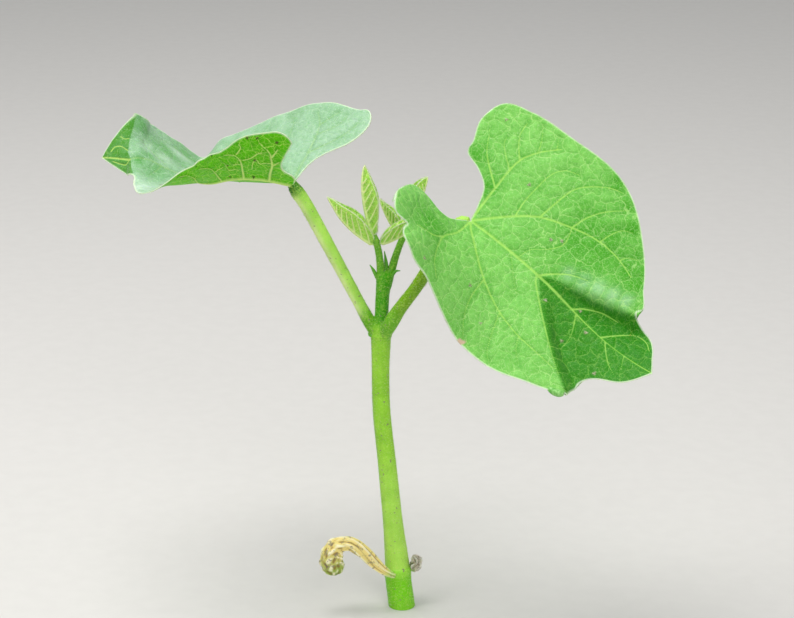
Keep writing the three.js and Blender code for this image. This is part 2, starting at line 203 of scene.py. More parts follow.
UNDERSIDE_VEINS = [
    ([(2.3, 6.2), (-0.6, 9.9), (-3.1, 12.9), (-4.7, 16.2), (-5.1, 17.8), (-4, 20.9),
      (-1.9, 22.9)], 0.42, 0.16),
    ([(-3.1, 12.8), (-6, 14.2), (-8.3, 15.2)], 0.26, 0.14),
    ([(-5, 16.1), (-7.6, 18.2), (-10, 19.1)], 0.26, 0.14),
    ([(-3.8, 13.6), (-2.1, 14.3), (-0.3, 14.3), (-0.6, 15.9), (0.9, 15.4),
      (3.3, 12.6)], 0.18, 0.12),
    ([(9.4, 7.8), (6.3, 13), (4.7, 15.7), (4.3, 18), (5, 19.1), (8.7, 19.8),
      (12.6, 20)], 0.42, 0.16),
    ([(3.4, 16.7), (0.6, 16.9), (-2.1, 17.9), (-4.4, 17.8)], 0.2, 0.14),
    ([(4, 19.2), (1.4, 20.9), (1.4, 22), (3.4, 22.5)], 0.2, 0.14),
    ([(4.8, 15.3), (6.6, 15.4), (8.3, 15.8)], 0.18, 0.12),
    ([(8.6, 13.3), (11.4, 13), (10.9, 16.2), (11.6, 17.7)], 0.18, 0.12),
    ([(17.6, 5.7), (17.4, 12.1), (18.3, 16.1), (20.5, 18.1), (23.1, 19.3)], 0.32, 0.14),
    ([(17.1, 13.6), (14.6, 14.2), (12.9, 14.7)], 0.18, 0.12),
    ([(22.5, 2.5), (23.9, 9.5), (25.2, 16.1), (28.1, 19), (30.6, 19.5)], 0.28, 0.14),
    ([(34, 0), (36.1, 6), (39, 9), (42, 10)], 0.22, 0.12),
    ([(42, 2.1), (43.2, 3.1), (45.5, 3), (46.8, 1.8)], 0.2, 0.14),
    ([(43.4, 4.7), (41, 5.6)], 0.18, 0.12),
]
FAR_TIP_VEINS = [
    ([(47.3, 1), (46.4, 2), (44.9, 2), (43, 0.6)], 0.2, 0.14),
    ([(45.2, 4.7), (44.1, 4), (43.2, 4.3)], 0.18, 0.12),
]

# The lines of two folds, on the flat half: the valley in the right leaf, and the crease across the
# left one.
VALLEY = [(21, 0), (27, 5.2), (34.6, 9.7), (44, 15)]
FAR_CREASE = [(42.8, 0), (41.8, 2.1), (39.7, 7), (38.6, 11.2), (37.6, 17)]

# A first leaf. Its margin is given by angle from the tip. Its heading, its pitch, and the lift and
# curl of each half are given by distance along the fold between the halves. Sway moves the edge
# beside the stalk along the leaf, by share of the way out. The midrib is a line on the flat leaf.
# The tip lies past a line, given with its breadth and depth, and is painted a deeper green there as
# painted shade, where it turns away from the sky. A fold has its line, the height of its crest, the
# drop past it, and its breadth before and past the line. The skin is pale but for its green places,
# partly painted shade where the blade dips or waves, and its whitish places, which are painted
# highlights on the crests of folds. These and the scars have a middle and a size, and the flecks
# are all of one size.
RIGHT_LEAF = {
    "junction": (15.8, -12, 103.1),
    "margin": {
        "left": [(0, 57), (3, 55), (6, 53), (8.5, 50.5), (10.5, 46.5), (12.2, 45.2), (13.8, 46.4),
                 (20, 43.5), (35, 39), (55, 36), (75, 31), (95, 29.5), (108, 28.5), (118, 22),
                 (127, 13), (136, 0)],
        "right": [(0, 57), (6, 53), (10, 48), (13.5, 46.5), (17, 47.5), (20, 48), (22, 46.5),
                  (28, 43), (35, 40), (50, 32.5), (65, 26.5), (80, 24), (91, 25.5), (98, 25.9),
                  (104, 25.3), (107, 24.2), (109.5, 22.7), (112, 23.9), (114.5, 26), (120, 26.1),
                  (124, 25.2), (128.5, 22.8), (134, 17.9), (136.5, 14.5), (139, 12.4), (142, 11.2),
                  (150, 0)],
    },
    "heading": [(-16, -32), (0, -32), (30, -35), (57, -41)],
    "pitch": [(-16, -22), (0, -26), (20, -32), (35, -36), (48, -22), (57, -14)],
    "lift": {
        "left": [(-16, 53), (0, 53), (30, 48.5), (57, 38.5)],
        "right": [(-16, 38), (-10, 28), (-4, 8), (5, -14), (20, -40), (40, -38), (57, -40)],
    },
    "curl": {"left": [(0, 0), (57, 0)], "right": [(-16, -2), (-8, -1.2), (0, 0), (57, 0)]},
    "sway": {
        "left": [(0, 0), (0.15, 2.8), (0.3, 4.2), (0.4, 1.9), (0.46, -1.3), (0.6, -1.1),
                 (0.8, -2.2), (1, -2)],
        "right": [(0, 0), (0.25, 5), (0.32, 3.8), (0.4, 0.3), (0.5, -1.8), (0.6, -0.4), (0.75, 1.4),
                  (1, 3)],
    },
    "tip": {
        "left": ([(21, 0), (24.2, 2), (28.3, 3.3), (33.2, 4.9), (39.6, 7.2),
                  (45.5, 9.5)], 0.45, 1),
        "right": (VALLEY, 0.3, 0.92),
    },
    "folds": {
        "left": [([(21.5, 0), (26, 4), (31, 5.8), (37, 7.6), (45, 9.6)], 1.3, 2.2, 6, 3.5)],
        "right": [(VALLEY, 1.1, 2, 5, 3)],
    },
    "midrib": [(0, 0), (57, 0)],
    "veins": {"left": UPPER_VEINS, "right": LOWER_VEINS},
    "scars": {"left": [], "right": [(20, 25.2, 1.3)]},
    # Green places: partly painted shade, darker where the margin waves and where the blade dips by
    # the sinus.
    "green_and_shaded_places": {
        "left": [(25, 12, 12), (37, 14, 8), (-8, 13, 4), (-3, 9, 4), (19.5, 28.5, 2.5),
                 (24, 26, 2.5), (28, 23, 2.5), (33, 19.5, 2.5)],
        "right": [(-4, 14, 5)],
    },
    # Painted highlights: whitish places along the crest of the fold above the valley.
    "highlight_places": {
        "left": [(26, 5, 1.6), (29.5, 6.2, 1.9), (33, 7.4, 2), (36.5, 8.6, 2), (40, 9.8, 1.8)],
        "right": [],
    },
    "flecks": {
        "left": [(17.5, 8.2), (19.5, 9.6), (33.5, 1.2), (-7.6, 24.5), (5.5, 15)],
        "right": [(26.5, 3.2), (38.5, 1.5), (36, 6.5), (2, 22), (46.5, 7.4), (12, 14), (20, 18)],
    },
}

# The far half of the left leaf has the veins of the right leaf but for those of its tip.
LEFT_LEAF = {
    "junction": (-26.1, 3, 107.9),
    "margin": {
        "left": [(0, 50), (5, 45.5), (11, 40.5), (18, 40.5), (23, 41), (27, 41), (32, 38.7),
                 (42, 33), (55, 25.4), (70, 22.7), (85, 23.3), (100, 23.4), (112, 22.5),
                 (123, 13.9), (132, 8.5), (140, 0)],
        "right": [(0, 50), (3, 48.3), (7, 46.4), (11, 45.1), (14.5, 44.7), (15.8, 44.8),
                  (17.6, 43.9), (24, 42.6), (28, 40.3), (32, 38.3), (42, 34.3), (55, 28.7),
                  (65, 26.7), (80, 25.8), (100, 25), (107, 25.3), (110, 26.2), (114, 25.6),
                  (119, 22.6), (123, 19), (131, 10.5), (138, 0)],
    },
    "heading": [(-16, 147), (0, 147), (10, 156), (22, 176), (39.5, 184), (42.5, 167), (50, 163)],
    "pitch": [(-16, -5), (0, -7), (12, -3), (22, 4), (30, 22.5), (39.5, 29), (42.5, -7),
              (50, -16)],
    "lift": {
        "left": [(-16, 25.5), (0, 21), (5, 20), (10, 19.5), (16, 18), (20, 12), (24, 2),
                 (31, -23.5), (38, -32), (41, -40.5), (44, -50), (50, -50)],
        "right": [(-16, 31), (0, 38), (6, 36), (12, 29.5), (16, 22), (20, 14), (22.5, 9.5),
                  (25, -2), (27.5, 0), (31.5, 6), (35, 9), (38, 11.5), (41, 19), (44, 44),
                  (50, 50)],
    },
    "curl": {
        "left": [(-16, 2.2), (0, 1.65), (5, 1.5), (10, 1.4), (16, 1.3), (20, 1.5), (24, 2.1),
                 (31, 3.6), (36, 1.9), (40, 0.8), (44, 0), (50, 0)],
        "right": [(-16, 0), (50, 0)],
    },
    "sway": {
        "left": [(0, 0), (0.25, 0.5), (0.5, 3), (0.75, 2), (1, -2.5)],
        "right": [(0, 0), (0.25, 3.5), (0.5, 0), (0.75, -1), (1, -0.5)],
    },
    "tip": {
        "left": (FAR_CREASE, 0.1, 1),
        "right": ([(42.9, 0), (43.1, 4), (43, 8.3), (42.9, 14)], 0.1, 1),
    },
    "folds": {"left": [(FAR_CREASE, 0.6, 1.2, 3, 2)], "right": []},
    "midrib": [
        (0, 0), (-0.9, 2.5), (0.6, 4.2), (2.6, 6), (4.7, 7.1), (9.7, 7.8), (13.8, 7.1), (18.1, 5.5),
        (21.3, 3.4), (25, 0.8), (30, 0), (37, 0), (42, 2.1), (50, 0),
    ],
    "veins": {"left": UNDERSIDE_VEINS, "right": UPPER_VEINS[:-1] + FAR_TIP_VEINS},
    "scars": NONE,
    # Green places: partly painted shade in hollows of the blade.
    "green_and_shaded_places": {
        "left": [(34, 3, 5), (39.5, 2, 2)],
        "right": [(35, 9, 6), (28, 16, 5), (41.6, 10, 3.4), (38, 1.2, 2.4)],
    },
    # Painted highlights: whitish places that lighten the blade where it bends.
    "highlight_places": {
        "left": [(37, 13.5, 3.5)],
        "right": [(39, 5.6, 2), (34, 5, 2.4), (30, 12.5, 2.4)],
    },
    "flecks": {
        "left": [(-3.9, 22.2), (-1.4, 22.8), (14.9, 20.4), (10.6, 15), (24, 20.8), (-7.9, 20),
                 (0.2, 15.7), (33, 11.3), (29.4, 18.6), (16.4, 1.9), (9.1, 5), (6.7, 4.1),
                 (8, 0.6), (5.8, 0.6), (19.4, 1.3), (13.9, 8.2), (5.9, 8.2), (23.4, 1.2), (27, 8)],
        "right": [],
    },
}

# The young leaflets are folded up along their midribs. Their reach is in leaflet lengths.
OVATE = [(0, 1), (5, 0.88), (11, 0.78), (22, 0.64), (33, 0.48), (46, 0.31), (62, 0.14), (90, 0)]
BLUNT = [(0, 1), (8, 0.92), (16, 0.81), (26, 0.65), (38, 0.47), (50, 0.3), (66, 0.13), (90, 0)]
LANCE = [(0, 1), (5.5, 0.89), (13, 0.75), (21, 0.61), (27, 0.48), (33, 0.33), (45, 0.16), (90, 0)]
LEAFLETS = {
    "young_leaf_a_left": dict(
        junction=(-6.8, 0, 93.8), length=16.4, shape=OVATE, heading=180, fold=62,
        pitch=[(0, 32), (4, 37), (8, 47), (12, 59), (15, 60), (16.4, 45)]),
    "young_leaf_a_middle": dict(
        junction=(-6.7, 0, 96.2), length=17.6, shape=LANCE, heading=180, fold=60,
        pitch=[(0, 68), (5, 76), (10, 84), (14, 93), (17.6, 103)]),
    "young_leaf_a_right": dict(
        junction=(-5.3, 0, 94.1), length=13, shape=OVATE, heading=2, fold=60,
        pitch=[(0, 12), (4, 26), (8, 36), (13, 40)]),
    "young_leaf_b_left": dict(
        junction=(-0.4, 4.9, 94.5), length=10.5, shape=OVATE, heading=172, fold=58,
        pitch=[(0, 50), (4, 60), (10.5, 72)]),
    "young_leaf_b_middle": dict(
        junction=(1.3, 4.9, 96.5), length=13.4, shape=BLUNT, heading=12, fold=62,
        pitch=[(0, 60), (6, 68), (13.4, 78)]),
    "young_leaf_b_right": dict(
        junction=(1.3, 4.7, 94.9), length=9.5, shape=OVATE, heading=14, fold=58,
        pitch=[(0, 5), (5, 14), (9.5, 20)]),
}

# Colours, from 0 to 255 as they show
STEM_COLOUR = (152, 212, 56)
LOW_STEM_COLOUR = (174, 228, 86)
FOOT_COLOUR = (128, 212, 34)
UPPER_STEM_COLOUR = (60, 160, 0)
LEFT_STALK_COLOUR = (170, 220, 92)
PALE_STALK_COLOUR = (218, 240, 158)
RIGHT_STALK_COLOUR = (116, 166, 22)
PULVINUS_COLOUR = (104, 172, 34)
DARK_PULVINUS_COLOUR = (54, 116, 22)
YOUNG_STALK_COLOUR = (112, 180, 52)
BUD_COLOUR = (84, 160, 28)
SCAR_COLOUR = (198, 172, 146)
SHEATH_COLOUR = (178, 214, 110)
CRUMB_COLOUR = (128, 120, 104)
SPECKLE_COLOUR = (204, 236, 110)
SHADED_SKIN_COLOUR = (86, 156, 10)

# Stem and stalks: path, half thickness by share of the length, and colour by share of the length
LIMBS = {
    "stem": dict(
        path=[(0, 0, 0), (-0.3, 0, 2.5), (-0.8, 0, 6.3), (-1.3, 0, 12.8), (-2.5, 0, 25.6),
              (-3.65, 0, 38.3), (-4.9, 0, 50.8), (-5.2, 0, 60), (-5.05, 0, 72.4)],
        radius=[(0, 3.25), (0.1, 3.2), (0.132, 3.35), (0.145, 3.05), (0.18, 2.9), (0.3, 2.45),
                (0.45, 2.3), (0.65, 2.15), (0.88, 2.15), (0.96, 2.35), (1, 2.2)],
        colour=[(0, FOOT_COLOUR), (0.12, FOOT_COLOUR), (0.14, LOW_STEM_COLOUR),
                (0.4, LOW_STEM_COLOUR), (0.6, STEM_COLOUR), (1, STEM_COLOUR)]),
    "upper_stem": dict(
        path=[(-4.95, 0, 70.5), (-4.85, 0, 77.5), (-4.6, 0, 82), (-4.2, 0, 85.6)],
        radius=[(0, 1.6), (0.4, 1.6), (0.75, 1.65), (1, 1.75)],
        colour=[(0, UPPER_STEM_COLOUR), (1, UPPER_STEM_COLOUR)]),
    "left_stalk": dict(
        path=[(-6.2, 0, 71.4), (-7.3, 0.3, 73.2), (-8.5, 0.4, 75.6), (-16.2, 1.5, 90.4),
              (-23, 2.6, 103.2), (-25.1, 2.9, 106.3), (-26.3, 3, 108.3)],
        radius=[(0, 1.25), (0.06, 1.5), (0.12, 1.55), (0.2, 1.45), (0.6, 1.55), (0.88, 1.6),
                (0.94, 1.65), (1, 1)],
        colour=[(0, PULVINUS_COLOUR), (0.12, PULVINUS_COLOUR), (0.2, LEFT_STALK_COLOUR),
                (0.9, LEFT_STALK_COLOUR), (0.95, DARK_PULVINUS_COLOUR), (1, DARK_PULVINUS_COLOUR)],
        pale_side=(-0.76, -0.5, -0.42)),
    "right_stalk": dict(
        path=[(-4.1, -1.2, 71.6), (-3, -2.6, 74.4), (-0.9, -3.2, 78.2), (3.6, -4.6, 85),
              (10, -8.8, 97), (12.6, -10.7, 101.2), (13.9, -11.3, 102.8), (15.5, -11.9, 103.1)],
        radius=[(0, 1.35), (0.08, 1.7), (0.14, 1.75), (0.24, 1.55), (0.85, 1.5), (0.93, 1.45),
                (1, 0.85)],
        colour=[(0, PULVINUS_COLOUR), (0.14, PULVINUS_COLOUR), (0.26, RIGHT_STALK_COLOUR),
                (0.85, RIGHT_STALK_COLOUR), (0.93, LEFT_STALK_COLOUR), (1, LEFT_STALK_COLOUR)]),
    "young_stalk_a": dict(
        path=[(-4.6, -0.1, 84), (-5, -0.2, 87), (-5.4, -0.1, 91), (-6, 0, 94), (-6.6, 0, 96.2)],
        radius=[(0, 1.2), (0.3, 0.95), (0.75, 0.8), (0.85, 0.85), (1, 0.55)],
        colour=[(0, BUD_COLOUR), (1, YOUNG_STALK_COLOUR)]),
    "young_stalk_b": dict(
        path=[(-3.6, 0.2, 84), (-2.6, 0.7, 87), (-1.6, 2.1, 90), (-0.4, 3.5, 93), (1, 4.8, 96)],
        radius=[(0, 1.1), (0.3, 0.95), (0.75, 0.8), (0.9, 0.85), (1, 0.6)],
        colour=[(0, BUD_COLOUR), (1, YOUNG_STALK_COLOUR)]),
}
SKIN_NODES = [
    "stem", "upper_stem", "petiole_left_base", "petiole_left", "petiole_left_top",
    "petiole_right_base", "petiole_right", "petiole_right_top", "young_petiole_a",
    "young_petiole_b",
]

# The shoot tip and the small pointed scales beside the nodes
SCALES = {
    "shoot_tip": dict(
        path=[(-4.1, 0.9, 85), (-3.8, 0.8, 88.5), (-4.2, 0.7, 92)],
        radius=[(0, 0.75), (0.4, 0.6), (1, 0.1)]),
    "stipule_left": dict(
        path=[(-5.9, 0, 85.4), (-6.8, 0, 87.4), (-7.7, 0, 88.8)],
        radius=[(0, 0.45), (0.5, 0.42), (1, 0.1)]),
    "stipule_right": dict(
        path=[(-2.6, -0.3, 85.9), (-1.5, -0.4, 87.3), (-0.4, -0.3, 87.4)],
        radius=[(0, 0.4), (0.5, 0.36), (1, 0.1)]),
    "node_stipule": dict(
        path=[(-6.9, -0.9, 71.5), (-7.7, -1.2, 71.4), (-8.1, -1.5, 72.2)],
        radius=[(0, 0.35), (0.5, 0.3), (1, 0.1)]),
}

# A bit of the larger leaf's margin is rolled up at its lower corner.
ROLLED_MARGIN = dict(
    path=[(32.9, -40.8, 72.1), (34.6, -41.4, 71.4), (36.3, -41.8, 71.2)],
    radius=[(0, 0.5), (0.3, 0.8), (0.75, 0.85), (1, 0.5)])

SEED_LEAF = dict(
    path=[(-1.9, -3, 9.3), (-3.2, -3.7, 10.2), (-4.8, -4.3, 11.5), (-6.8, -4.8, 13.6),
          (-9.7, -5.6, 17), (-12.6, -6, 19.2), (-15.4, -6, 18.9), (-16.9, -6, 17.1),
          (-17.2, -6, 14.9), (-16.7, -6, 12.6), (-16.4, -6, 10.8)],
    radius=[(0, 0.7), (0.08, 0.9), (0.25, 1.45), (0.45, 1.7), (0.58, 1.65), (0.7, 2.1), (0.82, 2.6),
            (0.93, 2.4), (0.98, 1.5), (1, 0.3)])
SEED_LEAF_SCAR = dict(
    path=[(2.5, -0.5, 9.6), (3.3, -0.5, 10.8), (3.6, -0.5, 12.2), (2.9, -0.5, 13.8)],
    radius=[(0, 0.4), (0.2, 1.1), (0.6, 1.2), (0.9, 0.7), (1, 0.2)])

# Curves and lines

def keyed(x, keys):
    """A smooth curve through (place, value) pairs, held level beyond both ends."""
    places, values = np.array(keys, float).T
    count = len(places)
    x = np.clip(np.asarray(x, float), places[0], places[-1])
    i = np.clip(np.searchsorted(places, x, side="right") - 1, 0, count - 2)
    before = np.maximum(np.arange(count) - 1, 0)
    after = np.minimum(np.arange(count) + 1, count - 1)
    slopes = (values[after] - values[before]) / (places[after] - places[before])
    h = places[i + 1] - places[i]
    t = (x - places[i]) / h
    start = (2 * t**3 - 3 * t**2 + 1) * values[i] + (t**3 - 2 * t**2 + t) * h * slopes[i]
    end = (3 * t**2 - 2 * t**3) * values[i + 1] + (t**3 - t**2) * h * slopes[i + 1]
    return start + end


def shader_colour(colour):
    """A colour given from 0 to 255 as it shows, in the values that a shader takes."""
    shares = [value / 255 for value in colour]
    return [s / 12.92 if s <= 0.04045 else ((s + 0.055) / 1.055) ** 2.4 for s in shares]


def keyed_colour(x, keys):
    """A smooth run of colours through (place, colour) pairs."""
    channels = zip(*(shader_colour(colour) for _, colour in keys))
    places = [place for place, _ in keys]
    runs = [keyed(x, list(zip(places, channel))) for channel in channels]
    return np.clip(np.stack(runs, -1), 0, 1)


def path_through(points):
    """A smooth path: its length, and its points at distances along it."""
    points = np.array(points, float)
    steps = np.linalg.norm(np.diff(points, axis=0), axis=1)
    distance = np.concatenate([[0], np.cumsum(steps)])

    def at(s):
        return np.stack([keyed(s, list(zip(distance, column))) for column in points.T], -1)

    return distance[-1], at


def smooth_step(x, start, end):
    """A smooth rise from 0 to 1 between two places."""
    t = np.clip((x - start) / (end - start), 0, 1)
    return t * t * (3 - 2 * t)


def bell(distance, breadth):
    """A bell curve: 1 at no distance, and next to nothing at twice the breadth."""
    return np.exp(-((distance / breadth) ** 2))


def unit(vectors):
    """The same directions at a length of 1."""
    return vectors / np.maximum(np.linalg.norm(vectors, axis=-1, keepdims=True), SMALLEST)


def direction_along(at, places, length, step):
    """The direction of a path at places along it."""
    return unit(at(np.minimum(places + step, length)) - at(np.maximum(places - step, 0)))


def steps_of(line, places):
    """For each step of a line: its number, its vector, the share of it that is nearest to each
    place, and the way from there to the place."""
    for k, step in enumerate(np.diff(line, axis=0)):
        away = places - line[k]
        t = np.clip(away @ step / (step @ step), 0, 1)
        yield k, step, t, away - t[..., None] * step


def line_distance(x, y, line):
    """Distance from flat points to a line, the share of it that is nearest, and the side."""
    nearest = np.full(np.shape(x), FAR_AWAY)
    share = np.zeros(np.shape(x))
    past = np.zeros(np.shape(x))
    for k, step, t, away in steps_of(np.array(line, float), np.stack([x, y], -1)):
        distance = np.linalg.norm(away, axis=-1)
        nearer = distance < nearest
        nearest = np.where(nearer, distance, nearest)
        share = np.where(nearer, (k + t) / (len(line) - 1), share)
        past = np.where(nearer, np.sign(step[1] * away[..., 0] - step[0] * away[..., 1]), past)
    return nearest, share, past


# Pieces

def add_object(name, data):
    """A new object in the scene."""
    made = bpy.data.objects.new(name, data)
    bpy.context.scene.collection.objects.link(made)
    return made


def make_piece(name, vertices, faces, materials, nodes=(), attributes=None, parts=None):
    """A mesh from millimetres that rides on the plant and stands for its CAD nodes."""
    mesh = bpy.data.meshes.new(name)
    mesh.from_pydata((np.asarray(vertices) * MM).tolist(), [], faces)
    for label, values in (attributes or {}).items():
        values = np.asarray(values, float)
        if values.ndim == 1:
            layer = mesh.attributes.new(label, "FLOAT", "POINT")
            layer.data.foreach_set("value", values)
        else:
            layer = mesh.attributes.new(label, "FLOAT_COLOR", "POINT")
            opaque = np.concatenate([values, np.ones((len(values), 1))], 1)
            layer.data.foreach_set("color", opaque.ravel())
    for material in materials:
        mesh.materials.append(material)
    if parts is not None:
        mesh.polygons.foreach_set("material_index", parts)
    mesh.shade_smooth()
    mesh.update()
    piece = add_object(name, mesh)
    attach(piece, "root")
    if nodes:
        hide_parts(*nodes)
    return piece


# Blades

def length_of(leaf):
    """The length of a leaf from its junction to its tip."""
    return leaf["margin"]["left"][0][1]


def frame_at(leaf, x):
    """The fold's direction, its left hand and its upper side at distances along the leaf."""
    heading = np.radians(keyed(x, leaf["heading"]))
    pitch = np.radians(keyed(x, leaf["pitch"]))
    flat = np.cos(pitch)
    along = np.stack([flat * np.cos(heading), flat * np.sin(heading), np.sin(pitch)], -1)
    left = np.stack([-np.sin(heading), np.cos(heading), np.zeros_like(heading)], -1)
    return along, left, np.cross(along, left)


def spine_of(leaf):
    """Points on the fold between the halves at distances along the leaf."""
    places = np.linspace(SPINE_START, length_of(leaf), SPINE_STEPS + 1)
    step = places[1] - places[0]
    along, _, _ = frame_at(leaf, places[:-1] + step / 2)
    points = np.concatenate([np.zeros((1, 3)), np.cumsum(along * step, axis=0)])

    def between(x):
        return np.stack([np.interp(x, places, column) for column in points.T], -1)

    shift = np.array(leaf["junction"], float) - between(0.0)
    return lambda x: between(x) + shift


def reach(leaf, half, x, y):
    """How far the margin is in the direction of a flat point."""
    return keyed(np.degrees(np.arctan2(y, x)), leaf["margin"][half])


def fold_height(x, y, line, crest, drop, before, after):
    """A fold that rises to a crest on its line and drops away past it."""
    distance, share, past = line_distance(x, y, line)
    rise = crest * bell(distance, before)
    level = bell(np.maximum(distance - after, 0), FOLD_FADE * after)
    fall = (crest - (crest + drop) * smooth_step(distance, 0, after)) * level
    return np.where(past > 0, fall, rise) * smooth_step(share, *FOLD_START)


def place_on_blade(leaf, half, x, y):
    """Flat points of one half, x along the leaf and y out from the fold, laid in space."""
    side = SIDES[half]
    _, left, up = frame_at(leaf, x)
    lift = np.radians(keyed(x, leaf["lift"][half]))
    curl = np.radians(keyed(x, leaf["curl"][half]))
    points = spine_of(leaf)(x)
    for i in range(LATERAL_STEPS):
        angle = lift + curl * y * (i + 0.5) / LATERAL_STEPS
        points = points + left * (side * np.cos(angle) * y / LATERAL_STEPS)[..., None]
        points = points + up * (np.sin(angle) * y / LATERAL_STEPS)[..., None]
    angle = lift + curl * y
    normal = up * np.cos(angle)[..., None] - left * (side * np.sin(angle))[..., None]
    for fold in leaf["folds"][half]:
        points = points + normal * fold_height(x, y, *fold)[..., None]
    return points


def flat_points(leaf, half, u, v):
    """Points of a flat half leaf: u runs from its base to its tip, v from the fold to the margin."""
    margin = leaf["margin"][half]
    length = length_of(leaf)
    sinus = margin[-1][0]
    lobe = LOBE_SHARE * sinus

    def on_margin(angle):
        distance = keyed(angle, margin)
        return distance * np.cos(np.radians(angle)), distance * np.sin(np.radians(angle))

    outer_x, outer_y = on_margin(lobe * (1 - u) ** COLUMN_SPACING)
    base_x, base_y = on_margin(sinus - v * (sinus - lobe))
    lobe_x, lobe_y = on_margin(lobe)
    x = (1 - v) * length * u + v * outer_x + (1 - u) * (base_x - v * lobe_x)
    x = x + (1 - u) ** 3 * keyed(v, leaf["sway"][half])
    y = v * outer_y + (1 - u) * (base_y - v * lobe_y)
    return x, np.maximum(y, 0)


def flat_grid(leaf, columns, rows):
    """A flat leaf's grid: x, y and side of each point. Its last column has shrunk to the tip,
    which comes last and alone."""
    v_across = np.concatenate([-np.linspace(1, 0, rows + 1)[:-1], np.linspace(0, 1, rows + 1)])
    u, v = np.meshgrid(np.arange(columns) / columns, v_across, indexing="ij")
    left_x, left_y = flat_points(leaf, "left", u, np.abs(v))
    right_x, right_y = flat_points(leaf, "right", u, np.abs(v))
    x = np.append(np.where(v < 0, right_x, left_x).ravel(), length_of(leaf))
    y = np.append(np.where(v < 0, right_y, left_y).ravel(), 0.0)
    side = np.append(np.where(v < 0, -1.0, 1.0).ravel(), 1.0)
    return x, y, side


def grid_faces(columns, width):
    """The faces of a grid whose last column has shrunk to one point, seen from above."""
    i, j = np.meshgrid(np.arange(columns - 1), np.arange(width - 1), indexing="ij")
    a = (i * width + j).ravel()
    quads = np.stack([a, a + width, a + width + 1, a + 1], 1).tolist()
    tip = columns * width
    last = (columns - 1) * width + np.arange(width - 1)
    return quads + [[int(k), tip, int(k) + 1] for k in last]


def rim_loop(columns, width):
    """The grid's outline in order, with the blade on its left hand."""
    tip = columns * width
    base = list(range(width))
    up = [i * width + width - 1 for i in range(1, columns)]
    down = [i * width for i in range(columns - 1, 0, -1)]
    return base + up + [tip] + down


def point_normals(points, faces):
    """The upper normal at each point of a grid."""
    normals = np.zeros_like(points)
    corners = np.array([[face[0], face[1], face[2], face[-1]] for face in faces])
    one = points[corners[:, 2]] - points[corners[:, 0]]
    other = points[corners[:, 3]] - points[corners[:, 1]]
    face_normals = np.cross(one, other)
    for k in range(4):
        np.add.at(normals, corners[:, k], face_normals)
    return unit(normals)


# Veins

def leaf_veins(leaf, half):
    """The larger veins of half a first leaf, each as points with a half width at each."""
    veins = []
    for points, start, end in leaf["veins"][half]:
        inside = [p for p in points if math.hypot(*p) < reach(leaf, half, *p) - VEIN_END]
        if len(inside) > 1:
            length, at = path_through(inside)
            line = at(np.linspace(0, length, VEIN_POINTS))
            veins.append((line, np.linspace(start, end, VEIN_POINTS)))
    return veins


def leaflet_veins(leaf, half):
    """The veins of half a leaflet, which leave the midrib and arch to the tip."""
    length = length_of(leaf)
    shape = LEAFLET_VEINS
    veins = []
    for k in range(shape["pairs"]):
        angle = shape["angle"] - shape["angle_step"] * k
        point = np.array([length * (shape["first"] + shape["spread"] * k / shape["pairs"]), 0.0])
        points = [point]
        while len(points) < shape["most_points"]:
            way = np.array([math.cos(math.radians(angle)), math.sin(math.radians(angle))])
            point = point + shape["step"] * length * way
            if math.hypot(*point) > shape["reach"] * reach(leaf, half, *point):
                break
            points.append(point)
            angle -= shape["bend"]
        if len(points) > 2:
            widths = np.linspace(shape["start"], shape["end"], len(points))
            veins.append((np.array(points), widths))
    return veins


def vein_field(x, y, veins):
    """For flat points, the distance from the nearest vein in half widths, how high the veins
    stand, and that distance in millimetres."""
    places = np.stack([x, y], 1)
    widths_away = np.full(len(x), FAR_FROM_VEIN)
    height = np.zeros(len(x))
    nearest = np.full(len(x), FAR_AWAY)
    for line, widths in veins:
        for k, _, t, away in steps_of(line, places):
            distance = np.linalg.norm(away, axis=1)
            width = widths[k] + t * (widths[k + 1] - widths[k])
            widths_away = np.minimum(widths_away, distance / width)
            height = np.maximum(height, bell(distance, width) * width)
            nearest = np.minimum(nearest, distance)
    return widths_away, height, nearest


def rim_distance(x, y, rim):
    """The distance from flat points to the nearest of those on the rim."""
    tree = KDTree(len(rim))
    for k, (a, b) in enumerate(zip(x[rim], y[rim])):
        tree.insert((a, b, 0), k)
    tree.balance()
    return np.array([tree.find((a, b, 0))[2] for a, b in zip(x, y)])


def blade_fields(leaf, look, x, y, side, rim):
    """The relief and the colour values over a flat leaf."""
    widths_away, height, nearest, tip = np.zeros((4, len(x)))
    for half, value in SIDES.items():
        chosen = side == value
        found = vein_field(x[chosen], y[chosen], look["veins"](leaf, half))
        widths_away[chosen], height[chosen], nearest[chosen] = found
        if leaf["tip"][half]:
            line, breadth, depth = leaf["tip"][half]
            distance, _, past = line_distance(x[chosen], y[chosen], line)
            tip[chosen] = depth * smooth_step(distance * past, -breadth, breadth)
    taper = 1 - RIB_TAPER * np.clip(x / length_of(leaf), 0, 1)
    midrib_distance, _, _ = line_distance(x, y * side, leaf["midrib"])
    rib_above = midrib_distance / (look["rib"] * taper)
    rib_below = midrib_distance / (look["rib_below"] * taper)
    rib_height = RIB_HEIGHT * look["rib_below"] * taper * bell(rib_below, 1)
    return dict(
        vein=np.minimum(widths_away, rib_above),
        vein_below=np.minimum(widths_away, rib_below),
        ridge=np.maximum(VEIN_HEIGHT * height, rib_height),
        nearest=np.minimum(nearest, midrib_distance),
        edge=rim_distance(x, y * side, rim),
        fleck=spotted(leaf["flecks"], ragged_spot, x, y, side),
        tip=tip)


def soft_spot(x, y, at_x, at_y, size):
    """A soft round spot, 1 in its middle."""
    return bell(np.hypot(x - at_x, y - at_y), size)


def ragged_spot(x, y, at_x, at_y, size=FLECK_SIZE):
    """A spot with a sharper edge, which two waves round it make ragged."""
    angle = np.arctan2(y - at_y, x - at_x)
    ragged = 1 + 0.3 * np.sin(3 * angle + 5 * at_x) + 0.25 * np.sin(5 * angle + 3 * at_y)
    return np.exp(-((np.hypot(x - at_x, y - at_y) / (size * ragged)) ** 4))


